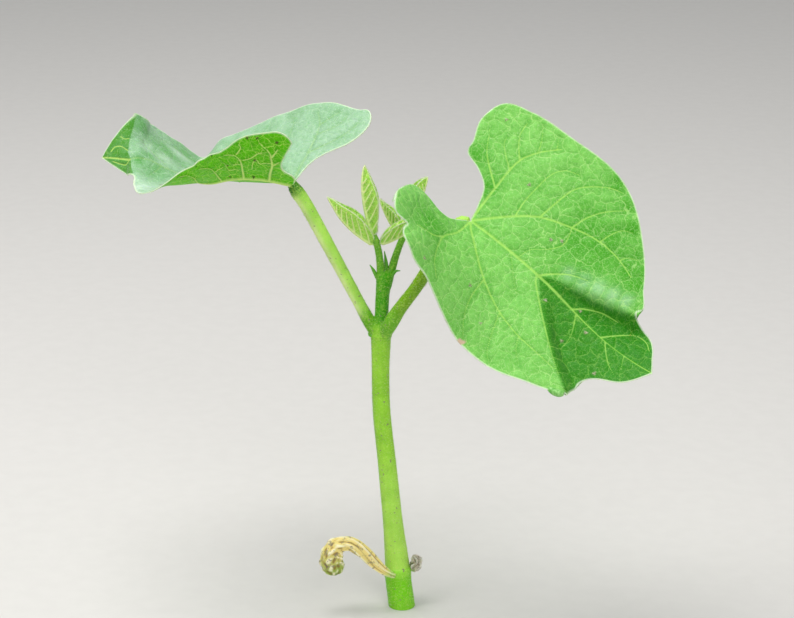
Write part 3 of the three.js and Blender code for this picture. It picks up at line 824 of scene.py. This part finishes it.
def spotted(places, spot, x, y, side):
    """The spots at the places on both halves: 1 in their middles, and 0 away from them."""
    near = np.zeros(len(x))
    for half, value in SIDES.items():
        for place in places[half]:
            near = np.maximum(near, np.where(side == value, spot(x, y, *place), 0))
    return near


def ripple(x, y, seed):
    """A gentle seeded waviness between -1 and 1."""
    rng = np.random.default_rng(seed)
    waves = np.zeros(len(x))
    for _ in range(RIPPLE_WAVES):
        angle, phase = rng.uniform(0, 2 * math.pi, 2)
        number = 2 * math.pi / rng.uniform(*RIPPLE_LENGTHS)
        across = x * math.cos(angle) + y * math.sin(angle)
        waves += np.sin(number * across + phase) / RIPPLE_WAVES
    return waves


def blade_relief(look, x, y, field):
    """How far a blade's upper and lower skin stand off its middle."""
    cells = look["cells"]
    puffed = look["quilt"] * (1 - bell(field["nearest"], PUFF_REACH * cells))
    waves = look["ripple"] * ripple(x, y, look["seed"]) * np.exp(-field["edge"] / cells)
    grooves = look["groove"] * bell(field["vein"], 1)
    level = puffed + FLECK_RISE * field["fleck"] + waves - grooves
    thin = RIM_SHARE + (1 - RIM_SHARE) * smooth_step(field["edge"], 0, RIM_BREADTH)
    half = 0.5 * look["thickness"] * thin
    ridge = field["ridge"] * smooth_step(field["edge"], 0, RIDGE_FADE)
    return level + half, level - half - ridge


def build_blade(name, leaf, look, **changes):
    """A leaf as a thin closed body: quilted above, with its veins standing out below."""
    look = {**look, **changes}
    columns, rows = look["grid"]
    width = 2 * rows + 1
    x, y, side = flat_grid(leaf, columns, rows)
    left, right = (place_on_blade(leaf, half, x, y) for half in SIDES)
    middle = np.where((side > 0)[:, None], left, right)
    faces = grid_faces(columns, width)
    normal = point_normals(middle, faces)
    rim = rim_loop(columns, width)
    field = blade_fields(leaf, look, x, y, side, rim)
    above, below = blade_relief(look, x, y * side, field)
    upper = middle + normal * above[:, None]
    lower = middle + normal * below[:, None]

    count = len(x)
    underside = [[count + k for k in reversed(face)] for face in faces]
    walls = [[b, a, a + count, b + count] for a, b in zip(rim, rim[1:] + rim[:1])]
    parts = [0] * len(faces) + [1] * len(underside) + [0] * len(walls)
    both_skins = {
        "flat": np.stack([x, y * side, np.full(count, float(look["seed"]))], 1),
        "shade": bell(field["nearest"], SHADE_REACH * look["cells"]),
        "margin": bell(field["edge"], look["margin_width"]),
        # Past the tip's line: painted shade, a deeper green where the blade turns away from the sky.
        "tip_shade": field["tip"],
        # Green places, partly painted shade where the blade dips or waves.
        "green": spotted(leaf["green_and_shaded_places"], soft_spot, x, y, side),
        # Painted highlights: whitish places on fold crests and bends.
        "highlight": spotted(leaf["highlight_places"], soft_spot, x, y, side),
        "fleck": field["fleck"],
        "scar": spotted(leaf["scars"], ragged_spot, x, y, side),
    }
    attributes = {label: np.concatenate([values, values]) for label, values in both_skins.items()}
    attributes["vein"] = np.concatenate([field["vein"], field["vein_below"]])
    return make_piece(
        name, np.concatenate([upper, lower]), faces + underside + walls, look["materials"],
        [name], attributes, parts)


def leaflet_shape(junction, length, shape, heading, fold, pitch):
    """A folded leaflet in the same terms as a first leaf."""

    def level(value):
        return [(0, value), (length, value)]

    def both(value):
        return {"left": value, "right": value}

    return {
        "junction": junction,
        "margin": both([(angle, share * length) for angle, share in shape]),
        "heading": level(heading),
        "pitch": pitch,
        "lift": both(level(fold)),
        "curl": both(level(-1)),
        "sway": both(level(0)),
        "tip": both(None),
        "folds": NONE,
        "midrib": [(0, 0), (length, 0)],
        "scars": NONE,
        "green_and_shaded_places": NONE,
        "highlight_places": NONE,
        "flecks": NONE,
    }


# Limbs

def tube(points, radius, sides=14, rings=24):
    """A closed tapering tube along a path."""
    length, at = path_through(points)
    places = np.linspace(0, length, rings + 1)
    directions = direction_along(at, places, length, SMALL_STEP)
    across = np.array([0.0, 1.0, 0.0])
    angles = 2 * np.pi * np.arange(sides) / sides
    rounds = []
    for centre, direction, place in zip(at(places), directions, places):
        across = unit(across - direction * (across @ direction))
        other = np.cross(direction, across)
        around = np.outer(np.cos(angles), across) + np.outer(np.sin(angles), other)
        rounds.append(centre + keyed(place / length, radius) * around)
    faces = []
    for i in range(rings):
        for k in range(sides):
            a = i * sides + k
            b = i * sides + (k + 1) % sides
            faces.append([a, b, b + sides, a + sides])
    faces.append(list(reversed(range(sides))))
    faces.append([rings * sides + k for k in range(sides)])
    return np.concatenate(rounds), faces


def limb_samples(limb, samples=48):
    """Points along a limb with their half thickness and share of the length."""
    length, at = path_through(limb["path"])
    shares = np.linspace(0, 1, samples)
    points = at(shares * length)
    radii = keyed(shares, limb["radius"])
    if limb is LIMBS["stem"]:
        below = points[0] - np.array([0, 0, BELOW_GROUND])
        points = np.concatenate([[below], points])
        radii = np.concatenate([[radii[0]], radii])
        shares = np.concatenate([[0.0], shares])
    return points, radii, shares


def limb_distance(places, limb):
    """Signed distance from places to a limb's skin, the way out, and the share of its length."""
    points, radii, shares = limb_samples(limb)
    best = np.full(len(places), FAR_AWAY)
    way = np.zeros_like(places)
    where = np.zeros(len(places))
    for k, _, t, away in steps_of(points, places):
        distance = np.linalg.norm(away, axis=1) - (radii[k] + t * (radii[k + 1] - radii[k]))
        nearer = distance < best
        best[nearer] = distance[nearer]
        way[nearer] = unit(away[nearer])
        where[nearer] = (shares[k] + t * (shares[k + 1] - shares[k]))[nearer]
    return best, way, where


def limb_colour(limb, way, share):
    """A limb's colour at shares of its length, where its skin faces a way."""
    colour = keyed_colour(share, limb["colour"])
    if "pale_side" not in limb:
        return colour
    facing = smooth_step(way @ np.array(limb["pale_side"]), *PALE_FACING)
    facing *= smooth_step(share, *PALE_START) * smooth_step(share, *PALE_END)
    return colour + facing[:, None] * (shader_colour(PALE_STALK_COLOUR) - colour)


def skin_field(places):
    """The blended skin of all the limbs: distance, way out, and colour."""
    found = [limb_distance(places, limb) for limb in LIMBS.values()]
    distances = np.stack([distance for distance, _, _ in found], 1)
    lowest = distances.min(1, keepdims=True)
    weights = np.exp(-(distances - lowest) / SKIN_BLEND)
    total = weights.sum(1, keepdims=True)
    field = lowest[:, 0] - SKIN_BLEND * np.log(total[:, 0])
    weights = (weights / total).T[..., None]
    blended_way = sum(weight * way for weight, (_, way, _) in zip(weights, found))
    colours = [limb_colour(limb, way, share) for limb, (_, way, share) in zip(LIMBS.values(), found)]
    return field, blended_way, sum(weight * colour for weight, colour in zip(weights, colours))


def remeshed_limbs():
    """One rough closed mesh round all the limbs."""
    vertices = np.zeros((0, 3))
    faces = []
    for limb in LIMBS.values():
        points = limb["path"]
        if limb is LIMBS["stem"]:
            points = [(0, 0, -ROUGH_FOOT * BELOW_GROUND)] + points
        these, those = tube(points, limb["radius"], ROUGH_SIDES, ROUGH_RINGS)
        faces += [[k + len(vertices) for k in face] for face in those]
        vertices = np.concatenate([vertices, these])
    mesh = bpy.data.meshes.new("limbs")
    mesh.from_pydata((vertices * MM).tolist(), [], faces)
    rough = add_object("limbs", mesh)
    remesh = rough.modifiers.new("remesh", "REMESH")
    remesh.mode = "VOXEL"
    remesh.voxel_size = SKIN_VOXEL * MM
    graph = bpy.context.evaluated_depsgraph_get()
    result = bpy.data.meshes.new_from_object(rough.evaluated_get(graph))
    bpy.data.objects.remove(rough)
    return result


def cut_at_ground(mesh):
    """Cuts the mesh level at the ground and closes the cut."""
    work = bmesh.new()
    work.from_mesh(mesh)
    geometry = work.verts[:] + work.edges[:] + work.faces[:]
    cut = bmesh.ops.bisect_plane(
        work, geom=geometry, plane_co=(0, 0, 0), plane_no=(0, 0, 1), clear_inner=True)
    edges = [item for item in cut["geom_cut"] if isinstance(item, bmesh.types.BMEdge)]
    bmesh.ops.contextual_create(work, geom=edges)
    work.to_mesh(mesh)
    work.free()


def skin_relief(places):
    """Faint long ridges and bumps on the stem and stalks, and a ring at each node of the stem."""
    x, y, z = places.T
    # Waves of unlike lengths look uneven.
    ridges = np.sin(STEM_RIDGES * np.arctan2(y, x - STEM_AXIS_X) + 0.12 * z)
    bumps = np.sin(7.3 * x + 1.7 * z) * np.sin(6.1 * y - 4.3 * z)
    relief = STEM_RIDGE_HEIGHT * ridges + STEM_BUMP_HEIGHT * bumps
    for level, height in STEM_RINGS:
        relief += height * bell(z - level, STEM_RING_BREADTH)
    return relief


def mesh_places(mesh):
    """A mesh's points in millimetres."""
    return np.array([vertex.co for vertex in mesh.vertices]) / MM


def build_skin(material):
    """The stem and all the stalks as one skin with soft joints."""
    mesh = remeshed_limbs()
    places = mesh_places(mesh)
    for _ in range(SKIN_PASSES):
        field, way, _ = skin_field(places)
        places -= way * field[:, None]
    _, way, _ = skin_field(places)
    places += way * skin_relief(places)[:, None]
    mesh.vertices.foreach_set("co", (places * MM).ravel())
    cut_at_ground(mesh)
    places = mesh_places(mesh)
    _, _, colour = skin_field(places)
    faces = [list(face.vertices) for face in mesh.polygons]
    attributes = {"tint": colour}
    make_piece("stem_and_stalks", places, faces, [material], SKIN_NODES, attributes)


# Hairs

def hair_cones(roots, ways, lengths, thickness):
    """Slim pyramids that stand on their roots."""
    rng = np.random.default_rng(HAIR_TURN_SEED)
    one = unit(np.cross(ways, rng.normal(size=roots.shape)))
    two = np.cross(ways, one)
    corners = []
    for k in range(3):
        angle = 2 * math.pi * k / 3
        corners.append(roots + thickness * (math.cos(angle) * one + math.sin(angle) * two))
    tips = roots + ways * lengths[:, None]
    vertices = np.stack(corners + [tips], 1).reshape(-1, 3)
    faces = []
    for a in range(0, 4 * len(roots), 4):
        faces += [[a, a + 1, a + 3], [a + 1, a + 2, a + 3], [a + 2, a, a + 3], [a, a + 2, a + 1]]
    return vertices, faces


def skin_hairs(material):
    """Short hairs all over the stem and stalks."""
    rng = np.random.default_rng(STEM_HAIR_SEED)
    roots = []
    for limb in LIMBS.values():
        length, at = path_through(limb["path"])
        area = length * 2 * math.pi * keyed(0.5, limb["radius"])
        count = int(STEM_HAIRS_PER_SQUARE_MM * area)
        places = rng.uniform(0, length, count)
        direction = direction_along(at, places, length, 2 * SMALL_STEP)
        spread = rng.normal(size=(count, 3))
        spread = unit(spread - direction * (spread * direction).sum(1, keepdims=True))
        roots.append(at(places) + spread * keyed(places / length, limb["radius"])[:, None])
    roots = np.concatenate(roots)
    field, way, _ = skin_field(roots)
    kept = (np.abs(field) < STEM_HAIR_REACH) & (roots[:, 2] > STEM_HAIR_FOOT)
    roots, way = (roots - way * field[:, None])[kept], way[kept]
    lift = np.array([0, 0, STEM_HAIR_LIFT])
    lean = unit(way + rng.normal(size=way.shape) * STEM_HAIR_SPREAD + lift)
    lengths = rng.uniform(*STEM_HAIR_LENGTHS, len(roots))
    vertices, faces = hair_cones(roots - STEM_HAIR_DEPTH * way, lean, lengths, STEM_HAIR_THICKNESS)
    make_piece("stem_hairs", vertices, faces, [material])


def margin_hairs(leaf, half, count, rng):
    """Roots on half a blade's margin, and the way out of the blade at each."""
    u, v = rng.uniform(0, 1, count), np.ones(count)
    on_base = rng.uniform(0, 1, count) < BASE_HAIR_SHARE
    u, v = np.where(on_base, 0, u), np.where(on_base, u, v)
    inner_u, inner_v = u + INNER_COLUMN * on_base, np.where(on_base, v, INNER_SHARE)
    outer = place_on_blade(leaf, half, *flat_points(leaf, half, u, v))
    inner = place_on_blade(leaf, half, *flat_points(leaf, half, inner_u, inner_v))
    return outer, outer - inner


def rib_hairs(leaf, count, rng):
    """Roots below a blade's midrib, and the way down from it at each."""
    length, at = path_through(leaf["midrib"])
    x, y = at(rng.uniform(0, length, count)).T
    on_rib = place_on_blade(leaf, "left", x, y)
    forward = place_on_blade(leaf, "left", x + SMALL_STEP, y) - on_rib
    outward = place_on_blade(leaf, "left", x, y + SMALL_STEP) - on_rib
    below = unit(np.cross(outward, forward))
    return on_rib + RIB_HAIR_DEPTH * below, below


def blade_hairs(name, leaf, material, slot, seed, count, length):
    """Hairs along a blade's margin and below its midrib."""
    rng = np.random.default_rng(seed)
    groups = [margin_hairs(leaf, half, count, rng) for half in SIDES]
    groups.append(rib_hairs(leaf, count, rng))
    roots, ways = (np.concatenate(group) for group in zip(*groups))
    ways = unit(ways)
    ways = unit(ways + rng.normal(size=ways.shape) * BLADE_HAIR_SPREAD)
    lengths = rng.uniform(SHORTEST_SHARE, 1, len(roots)) * length
    vertices, faces = hair_cones(roots - BLADE_HAIR_DEPTH * ways, ways, lengths, BLADE_HAIR_THICKNESS)
    make_piece(name, vertices, faces, [material])


# Seed leaf

def build_seed_leaf(name, shape, nodes, material, wrinkle, flat=1.0, sides=48, rings=120):
    """A shrivelled body along a path, wrinkled lengthwise and across."""
    vertices, faces = tube(shape["path"], shape["radius"], sides, rings)
    rounds = vertices.reshape(rings + 1, sides, 3)
    centres = rounds.mean(1, keepdims=True)
    angles = 2 * np.pi * np.arange(sides) / sides
    share = np.linspace(0, 1, rings + 1)[:, None]
    # Waves of unlike lengths make uneven furrows along the body and, towards its end, across it.
    long_folds = np.sin(5 * angles + 3 * np.sin(6 * share)) + 0.5 * np.sin(9 * angles - 4 * share)
    long_folds = long_folds + 0.5 * np.sin(13 * angles + 9 * np.sin(5 * share))
    cross_folds = np.sin(80 * share + 2.5 * np.sin(3 * angles)) * smooth_step(share, 0.5, 0.75)
    swell = 1 + wrinkle * (long_folds + 0.8 * cross_folds)
    offset = (rounds - centres) * swell[..., None]
    offset[..., 1] *= flat
    crest = np.clip(0.5 + 0.35 * (long_folds + cross_folds), 0, 1)
    attributes = {"along": np.repeat(share[:, 0], sides), "crest": crest.ravel()}
    placed = (centres + offset).reshape(-1, 3)
    make_piece(name, placed, faces, [material], nodes, attributes)


# Materials

class Shader:
    """A material with a Principled shader, and short names for the nodes that feed it."""

    def __init__(self, name, **settings):
        self.material = bpy.data.materials.new(name)
        self.material.use_nodes = True
        self.tree = self.material.node_tree
        self.principled = self.tree.nodes["Principled BSDF"]
        for socket, value in settings.items():
            self.principled.inputs[socket.replace("_", " ")].default_value = value

    def node(self, kind, inputs, **settings):
        """A node with each input linked to a socket or set to a value."""
        made = self.tree.nodes.new(kind)
        for key, value in settings.items():
            setattr(made, key, value)
        for socket, value in inputs.items():
            if isinstance(value, bpy.types.NodeSocket):
                self.tree.links.new(value, made.inputs[socket])
            else:
                made.inputs[socket].default_value = value
        return made

    def attribute(self, name, output="Fac"):
        return self.node("ShaderNodeAttribute", {}, attribute_name=name).outputs[output]

    def noise(self, scale, detail, roughness=0.5):
        place = self.node("ShaderNodeTexCoord", {}).outputs["Object"]
        inputs = {"Vector": place, "Scale": scale, "Detail": detail, "Roughness": roughness}
        return self.node("ShaderNodeTexNoise", inputs).outputs["Fac"]

    def mottle(self, scale, detail, start, full, roughness=0.5):
        """Noise that is 0 below where it starts, and 1 where it is full."""
        return self.range(self.noise(scale, detail, roughness), start, full)

    def range(self, value, low, high, to_low=0.0, to_high=1.0):
        inputs = {0: value, 1: low, 2: high, 3: to_low, 4: to_high}
        return self.node("ShaderNodeMapRange", inputs).outputs[0]

    def times(self, first, second):
        return self.node("ShaderNodeMath", {0: first, 1: second}, operation="MULTIPLY").outputs[0]

    def blend(self, factor, first, second):
        """Two colours mixed, each a socket or a plain colour."""
        inputs = {0: factor}
        for index, colour in ((6, first), (7, second)):
            plain = not isinstance(colour, bpy.types.NodeSocket)
            inputs[index] = (*shader_colour(colour), 1.0) if plain else colour
        return self.node("ShaderNodeMix", inputs, data_type="RGBA").outputs[2]

    def paint(self, base, layers):
        """The base colour under layers of other colours, each with its own factor."""
        for factor, colour in layers:
            base = self.blend(factor, base, colour)
        self.feed("Base Color", base)

    def bump(self, height, distance, strength):
        inputs = {"Height": height, "Distance": distance, "Strength": strength}
        self.feed("Normal", self.node("ShaderNodeBump", inputs).outputs[0])

    def feed(self, socket, value):
        self.tree.links.new(value, self.principled.inputs[socket])


def net_line(shader, flat, cells, breadth):
    """A net of thin veins over the flat leaf: its lines, and how far each point is inside a cell."""
    wobble = shader.node("ShaderNodeTexNoise", {"Vector": flat, "Scale": 1.4 / cells, "Detail": 2.0})
    moved = wobble.outputs["Color"]
    steps = [("SUBTRACT", {1: (0.5, 0.5, 0.5)}), ("SCALE", {3: 0.9 * cells}), ("ADD", {1: flat})]
    for operation, inputs in steps:
        inputs[0] = moved
        moved = shader.node("ShaderNodeVectorMath", inputs, operation=operation).outputs[0]
    cell = shader.node(
        "ShaderNodeTexVoronoi", {"Vector": moved, "Scale": 1 / cells, "Randomness": 0.85},
        feature="DISTANCE_TO_EDGE", voronoi_dimensions="2D")
    inside = cell.outputs["Distance"]
    return shader.range(inside, 0.4 * breadth / cells, breadth / cells, 1.0, 0.0), inside


def blade_material(name, look):
    """Leaf skin with its net of veins, mottled, with painted shade, a deeper green, where the tip
    turns away, and painted highlights on the crests of folds.
    """
    shader = Shader(
        name, Sheen_Weight=look["sheen"], Sheen_Roughness=0.5, Subsurface_Weight=look["glow"],
        Subsurface_Radius=(0.5, 1.0, 0.15), Subsurface_Scale=LEAF_GLOW_DEPTH,
        Specular_IOR_Level=look["shine"])
    flat = shader.attribute("flat", "Vector")
    tip_shade = shader.attribute("tip_shade")
    patches = shader.mottle(*LEAF_PATCHES)
    dust = shader.times(shader.mottle(*LEAF_DUST), 0.4)
    net, inside = net_line(shader, flat, look["cells"], NET_BREADTH)
    small_net, _ = net_line(shader, flat, 0.4 * look["cells"], 0.8 * NET_BREADTH)
    outside_green_and_shade = shader.range(shader.attribute("green"), 0, 1, 1.0, 0.0)
    thinner = shader.range(tip_shade, 0, 1, 1.0, 0.5)
    net_strength = shader.range(patches, 0, 1, 0.5 * look["net"], look["net"])
    vein_line = shader.range(shader.attribute("vein"), 0.4, 1.2, 1.0, 0.0)
    vein_strength = shader.range(tip_shade, 0, 1, look["line"], look["tip_shade_line"])
    net_colour = shader.blend(tip_shade, look["net_colour"], look["vein"])
    fleck_colour = shader.blend(shader.mottle(*LEAF_CRUMBS), look["fleck"], look["fleck_shade"])
    # The layers of colour from the lowest up, each with how strongly it shows
    shader.paint(shader.blend(shader.times(patches, 0.35), look["green"], look["pale"]), [
        # Pale skin outside the green places; the green places are partly painted shade where the
        # blade dips or waves.
        (shader.times(outside_green_and_shade, shader.range(patches, 0, 1, 0.75, 1.0)), look["pale"]),
        # Painted shade: a deeper green past the tip's line, where the blade turns away from the sky.
        (tip_shade, look["tip_shade"]),
        # Painted highlights: whitish places on the crests of folds and where the blade bends.
        (shader.times(shader.attribute("highlight"), 0.5), look["highlight"]),
        (shader.times(shader.mottle(*LEAF_MOTTLE), 0.35), look["shade"]),
        (shader.times(shader.attribute("shade"), 0.35), look["shade"]),
        (shader.times(thinner, dust), look["dust"]),
        (shader.times(thinner, shader.times(small_net, look["small_net"])), net_colour),
        (shader.times(net, shader.times(thinner, net_strength)), net_colour),
        (shader.times(vein_line, vein_strength), look["vein"]),
        (shader.range(shader.attribute("margin"), 0.1, 0.9, 0.0, 0.8), look["margin"]),
        (shader.range(shader.attribute("scar"), 0.1, 0.7), SCAR_COLOUR),
        (shader.range(shader.attribute("fleck"), 0.2, 0.8, 0.0, 0.85), fleck_colour),
    ])
    shader.feed("Roughness", shader.range(shader.mottle(*LEAF_GRAIN), 0, 1, 0.45, 0.6))
    shader.bump(shader.range(inside, 0.0, 0.3), look["puff"], 0.7)
    return shader.material


def skin_material():
    """Green skin, speckled, tinted by where it is on the plant."""
    shader = Shader(
        "stem_skin", Subsurface_Weight=0.15, Subsurface_Radius=(0.5, 1.0, 0.2),
        Subsurface_Scale=STEM_GLOW_DEPTH, Specular_IOR_Level=0.2)
    speckle = shader.mottle(*STEM_SPECKLE)
    shader.paint(shader.attribute("tint", "Color"), [
        (shader.times(speckle, 0.42), SPECKLE_COLOUR),
        (shader.times(shader.mottle(*STEM_PATCHES), 0.3), SHADED_SKIN_COLOUR),
        (shader.times(shader.mottle(*STEM_CRUMBS), 0.8), CRUMB_COLOUR),
    ])
    shader.feed("Roughness", shader.range(speckle, 0, 1, 0.42, 0.6))
    shader.bump(speckle, STEM_BUMP, 0.7)
    return shader.material


def plain_material(name, first, second, scale, roughness=0.55):
    """Two colours mottled together."""
    shader = Shader(name, Roughness=roughness)
    mottle = shader.mottle(scale, 3.0, 0.35, 0.65)
    shader.feed("Base Color", shader.blend(mottle, first, second))
    shader.bump(mottle, PLAIN_BUMP, 0.5)
    return shader.material


def dried_material(name, skin, crest_colour, furrow, end):
    """Drying leaf: pale crests, brown furrows and grey crumbs, another colour at its end."""
    shader = Shader(
        name, Roughness=0.62, Subsurface_Weight=0.1, Subsurface_Scale=DRIED_GLOW_DEPTH)
    along = shader.attribute("along")
    crest = shader.attribute("crest")
    shader.paint(shader.blend(shader.range(along, 0.05, 0.14), SHEATH_COLOUR, skin), [
        (shader.range(along, 0.72, 0.95, 0.0, 0.9), end),
        (shader.range(crest, 0.55, 1.0, 0.0, 0.7), crest_colour),
        (shader.range(crest, 0.3, 0.0, 0.0, 0.75), furrow),
        (shader.times(shader.mottle(*DRIED_CRUMBS), 0.75), CRUMB_COLOUR),
    ])
    shader.bump(shader.noise(1800.0, 3.0), DRIED_BUMP, 0.8)
    return shader.material


# Stage

def add_camera():
    """The camera, level from side to side, looking down a little from the front."""
    pitch = math.radians(CAMERA_PITCH)
    forward = np.array([0, math.cos(pitch), -math.sin(pitch)])
    data = bpy.data.cameras.new("camera")
    data.sensor_width = SENSOR_WIDTH
    data.lens = CAMERA_LENS
    data.clip_start = 0.01
    camera = add_object("camera", data)
    camera.location = (np.array(CAMERA_TARGET) - forward * CAMERA_DISTANCE) * MM
    camera.rotation_euler = (math.pi / 2 - pitch, 0, 0)
    bpy.context.scene.camera = camera


def add_area_light(name, place, size, power):
    """A soft square light that looks at the plant's middle."""
    data = bpy.data.lights.new(name, "AREA")
    data.size = size
    data.energy = power
    light = add_object(name, data)
    light.location = place
    away = np.array(place) - np.array(CAMERA_TARGET) * MM
    flat = math.hypot(away[0], away[1])
    light.rotation_euler = (math.atan2(flat, away[2]), 0, math.atan2(away[0], -away[1]))


def add_world():
    """Even light from all round."""
    world = bpy.data.worlds.new("world")
    world.use_nodes = True
    background = world.node_tree.nodes["Background"]
    background.inputs["Color"].default_value = WORLD_COLOUR
    background.inputs["Strength"].default_value = WORLD_STRENGTH
    bpy.context.scene.world = world
    bpy.context.scene.view_settings.view_transform = "Standard"


def add_floor():
    """A plain pale floor at the level of the ground."""
    half = FLOOR_SIZE / 2
    corners = [(-half, -half, 0), (half, -half, 0), (half, half, 0), (-half, half, 0)]
    mesh = bpy.data.meshes.new("floor")
    mesh.from_pydata(corners, [], [[0, 1, 2, 3]])
    mesh.materials.append(plain_material("floor", (214, 211, 206), (212, 209, 204), 200.0, 0.85))
    floor = add_object("floor", mesh)


add_camera()
add_world()
for name, (place, size, power) in LIGHTS.items():
    add_area_light(name, place, size, power)
add_floor()

# Materials of the plant

skin = skin_material()
hair = plain_material("hair", (224, 236, 196), (206, 224, 160), 900.0)
young = plain_material("young_skin", BUD_COLOUR, YOUNG_STALK_COLOUR, 900.0)
rolled = plain_material("rolled_margin", (92, 168, 62), (150, 206, 118), 1600.0)
dried = dried_material("dried_leaf", (234, 214, 128), (255, 250, 216), (132, 94, 38), (116, 156, 32))
dried_stub = dried_material(
    "dried_stub", (176, 170, 146), (228, 226, 214), (84, 74, 48), (176, 170, 146))

top_look = dict(
    green=(58, 150, 8), pale=(129, 198, 93), tip_shade=(34, 119, 0), shade=(48, 140, 10),
    vein=(164, 215, 98), net_colour=(174, 220, 130), dust=(184, 222, 150), highlight=(176, 214, 176),
    margin=(222, 238, 204), fleck=(178, 178, 150), fleck_shade=(110, 104, 72), cells=LEAF_CELLS,
    net=0.54, small_net=0.22, line=0.72, tip_shade_line=0.72, sheen=0.05, glow=0.1, shine=0.14,
    puff=0.0002)
# The upper skin of the left leaf, painted paler and bluer than the right leaf's as painted sky sheen
# where it is seen at a grazing angle; its tip keeps a deeper green.
sky_sheen_top_look = dict(
    top_look, green=(74, 152, 54), pale=(156, 191, 158), tip_shade=(62, 136, 0), shade=(90, 150, 84),
    vein=(184, 216, 106), net_colour=(190, 220, 186), dust=(206, 226, 206), highlight=(206, 226, 206),
    net=0.3, small_net=0.1, line=0.16, sheen=0.17)
under_look = dict(
    top_look, green=(82, 178, 2), pale=(94, 188, 6), tip_shade=(70, 156, 4), shade=(42, 132, 0),
    vein=(196, 224, 124), net_colour=(184, 220, 100), dust=(120, 196, 40), fleck=(84, 72, 42),
    fleck_shade=(24, 20, 10), net=0.7, small_net=0.36, line=0.9, sheen=0.0, glow=0.3, shine=0.1,
    puff=0.00024)
young_look = dict(
    top_look, green=(140, 208, 48), pale=(160, 220, 66), tip_shade=(96, 172, 20), shade=(78, 152, 8),
    vein=(230, 246, 168), net_colour=(220, 242, 146), margin=(234, 246, 204), cells=LEAFLET_CELLS,
    net=0.55, small_net=0.3, line=0.95, sheen=0.05, glow=0.2, shine=0.15, puff=0.0001)
leaf_top = blade_material("leaf_top", top_look)
sky_sheen_leaf_top = blade_material("sky_sheen_leaf_top", sky_sheen_top_look)
leaf_under = blade_material("leaf_under", under_look)
young_blade = blade_material("young_blade", young_look)

leaf_build = dict(
    grid=(LEAF_COLUMNS, LEAF_ROWS), veins=leaf_veins, rib=0.5, rib_below=0.95, cells=LEAF_CELLS,
    quilt=0.26, groove=0.12, ripple=0.35, thickness=LEAF_THICKNESS, margin_width=0.26,
    slot="leaf_blade")
leaflet_build = dict(
    grid=(LEAFLET_COLUMNS, LEAFLET_ROWS), veins=leaflet_veins, rib=0.5, rib_below=0.5,
    cells=LEAFLET_CELLS, quilt=0.22, groove=0.1, ripple=0.15, thickness=LEAFLET_THICKNESS,
    margin_width=0.2, slot="young_blade", materials=[young_blade, young_blade])

# The plant

build_skin(skin)
skin_hairs(hair)
build_blade("leaf_right", RIGHT_LEAF, leaf_build, materials=[leaf_top, leaf_under], seed=21)
build_blade(
    "leaf_left", LEFT_LEAF, leaf_build, materials=[sky_sheen_leaf_top, leaf_under], seed=31, rib=0.75,
    rib_below=0.8)
blade_hairs("leaf_right_hairs", RIGHT_LEAF, hair, "leaf_blade", seed=41, **LEAF_HAIRS)
blade_hairs("leaf_left_hairs", LEFT_LEAF, hair, "leaf_blade", seed=42, **LEAF_HAIRS)
for number, (name, values) in enumerate(LEAFLETS.items()):
    shape = leaflet_shape(**values)
    build_blade(name, shape, leaflet_build, seed=50 + number)
    blade_hairs(name + "_hairs", shape, hair, "young_blade", seed=70 + number, **LEAFLET_HAIRS)
for name, scale in SCALES.items():
    vertices, faces = tube(scale["path"], scale["radius"], sides=16, rings=20)
    make_piece(name, vertices, faces, [young], [name])
vertices, faces = tube(ROLLED_MARGIN["path"], ROLLED_MARGIN["radius"], sides=24)
make_piece("rolled_margin", vertices, faces, [rolled])
build_seed_leaf("seed_leaf_dry", SEED_LEAF, ["seed_leaf", "seed_leaf_tip"], dried, 0.1, flat=0.75)
build_seed_leaf("seed_leaf_stub", SEED_LEAF_SCAR, ["seed_leaf_scar"], dried_stub, 0.24, rings=40)
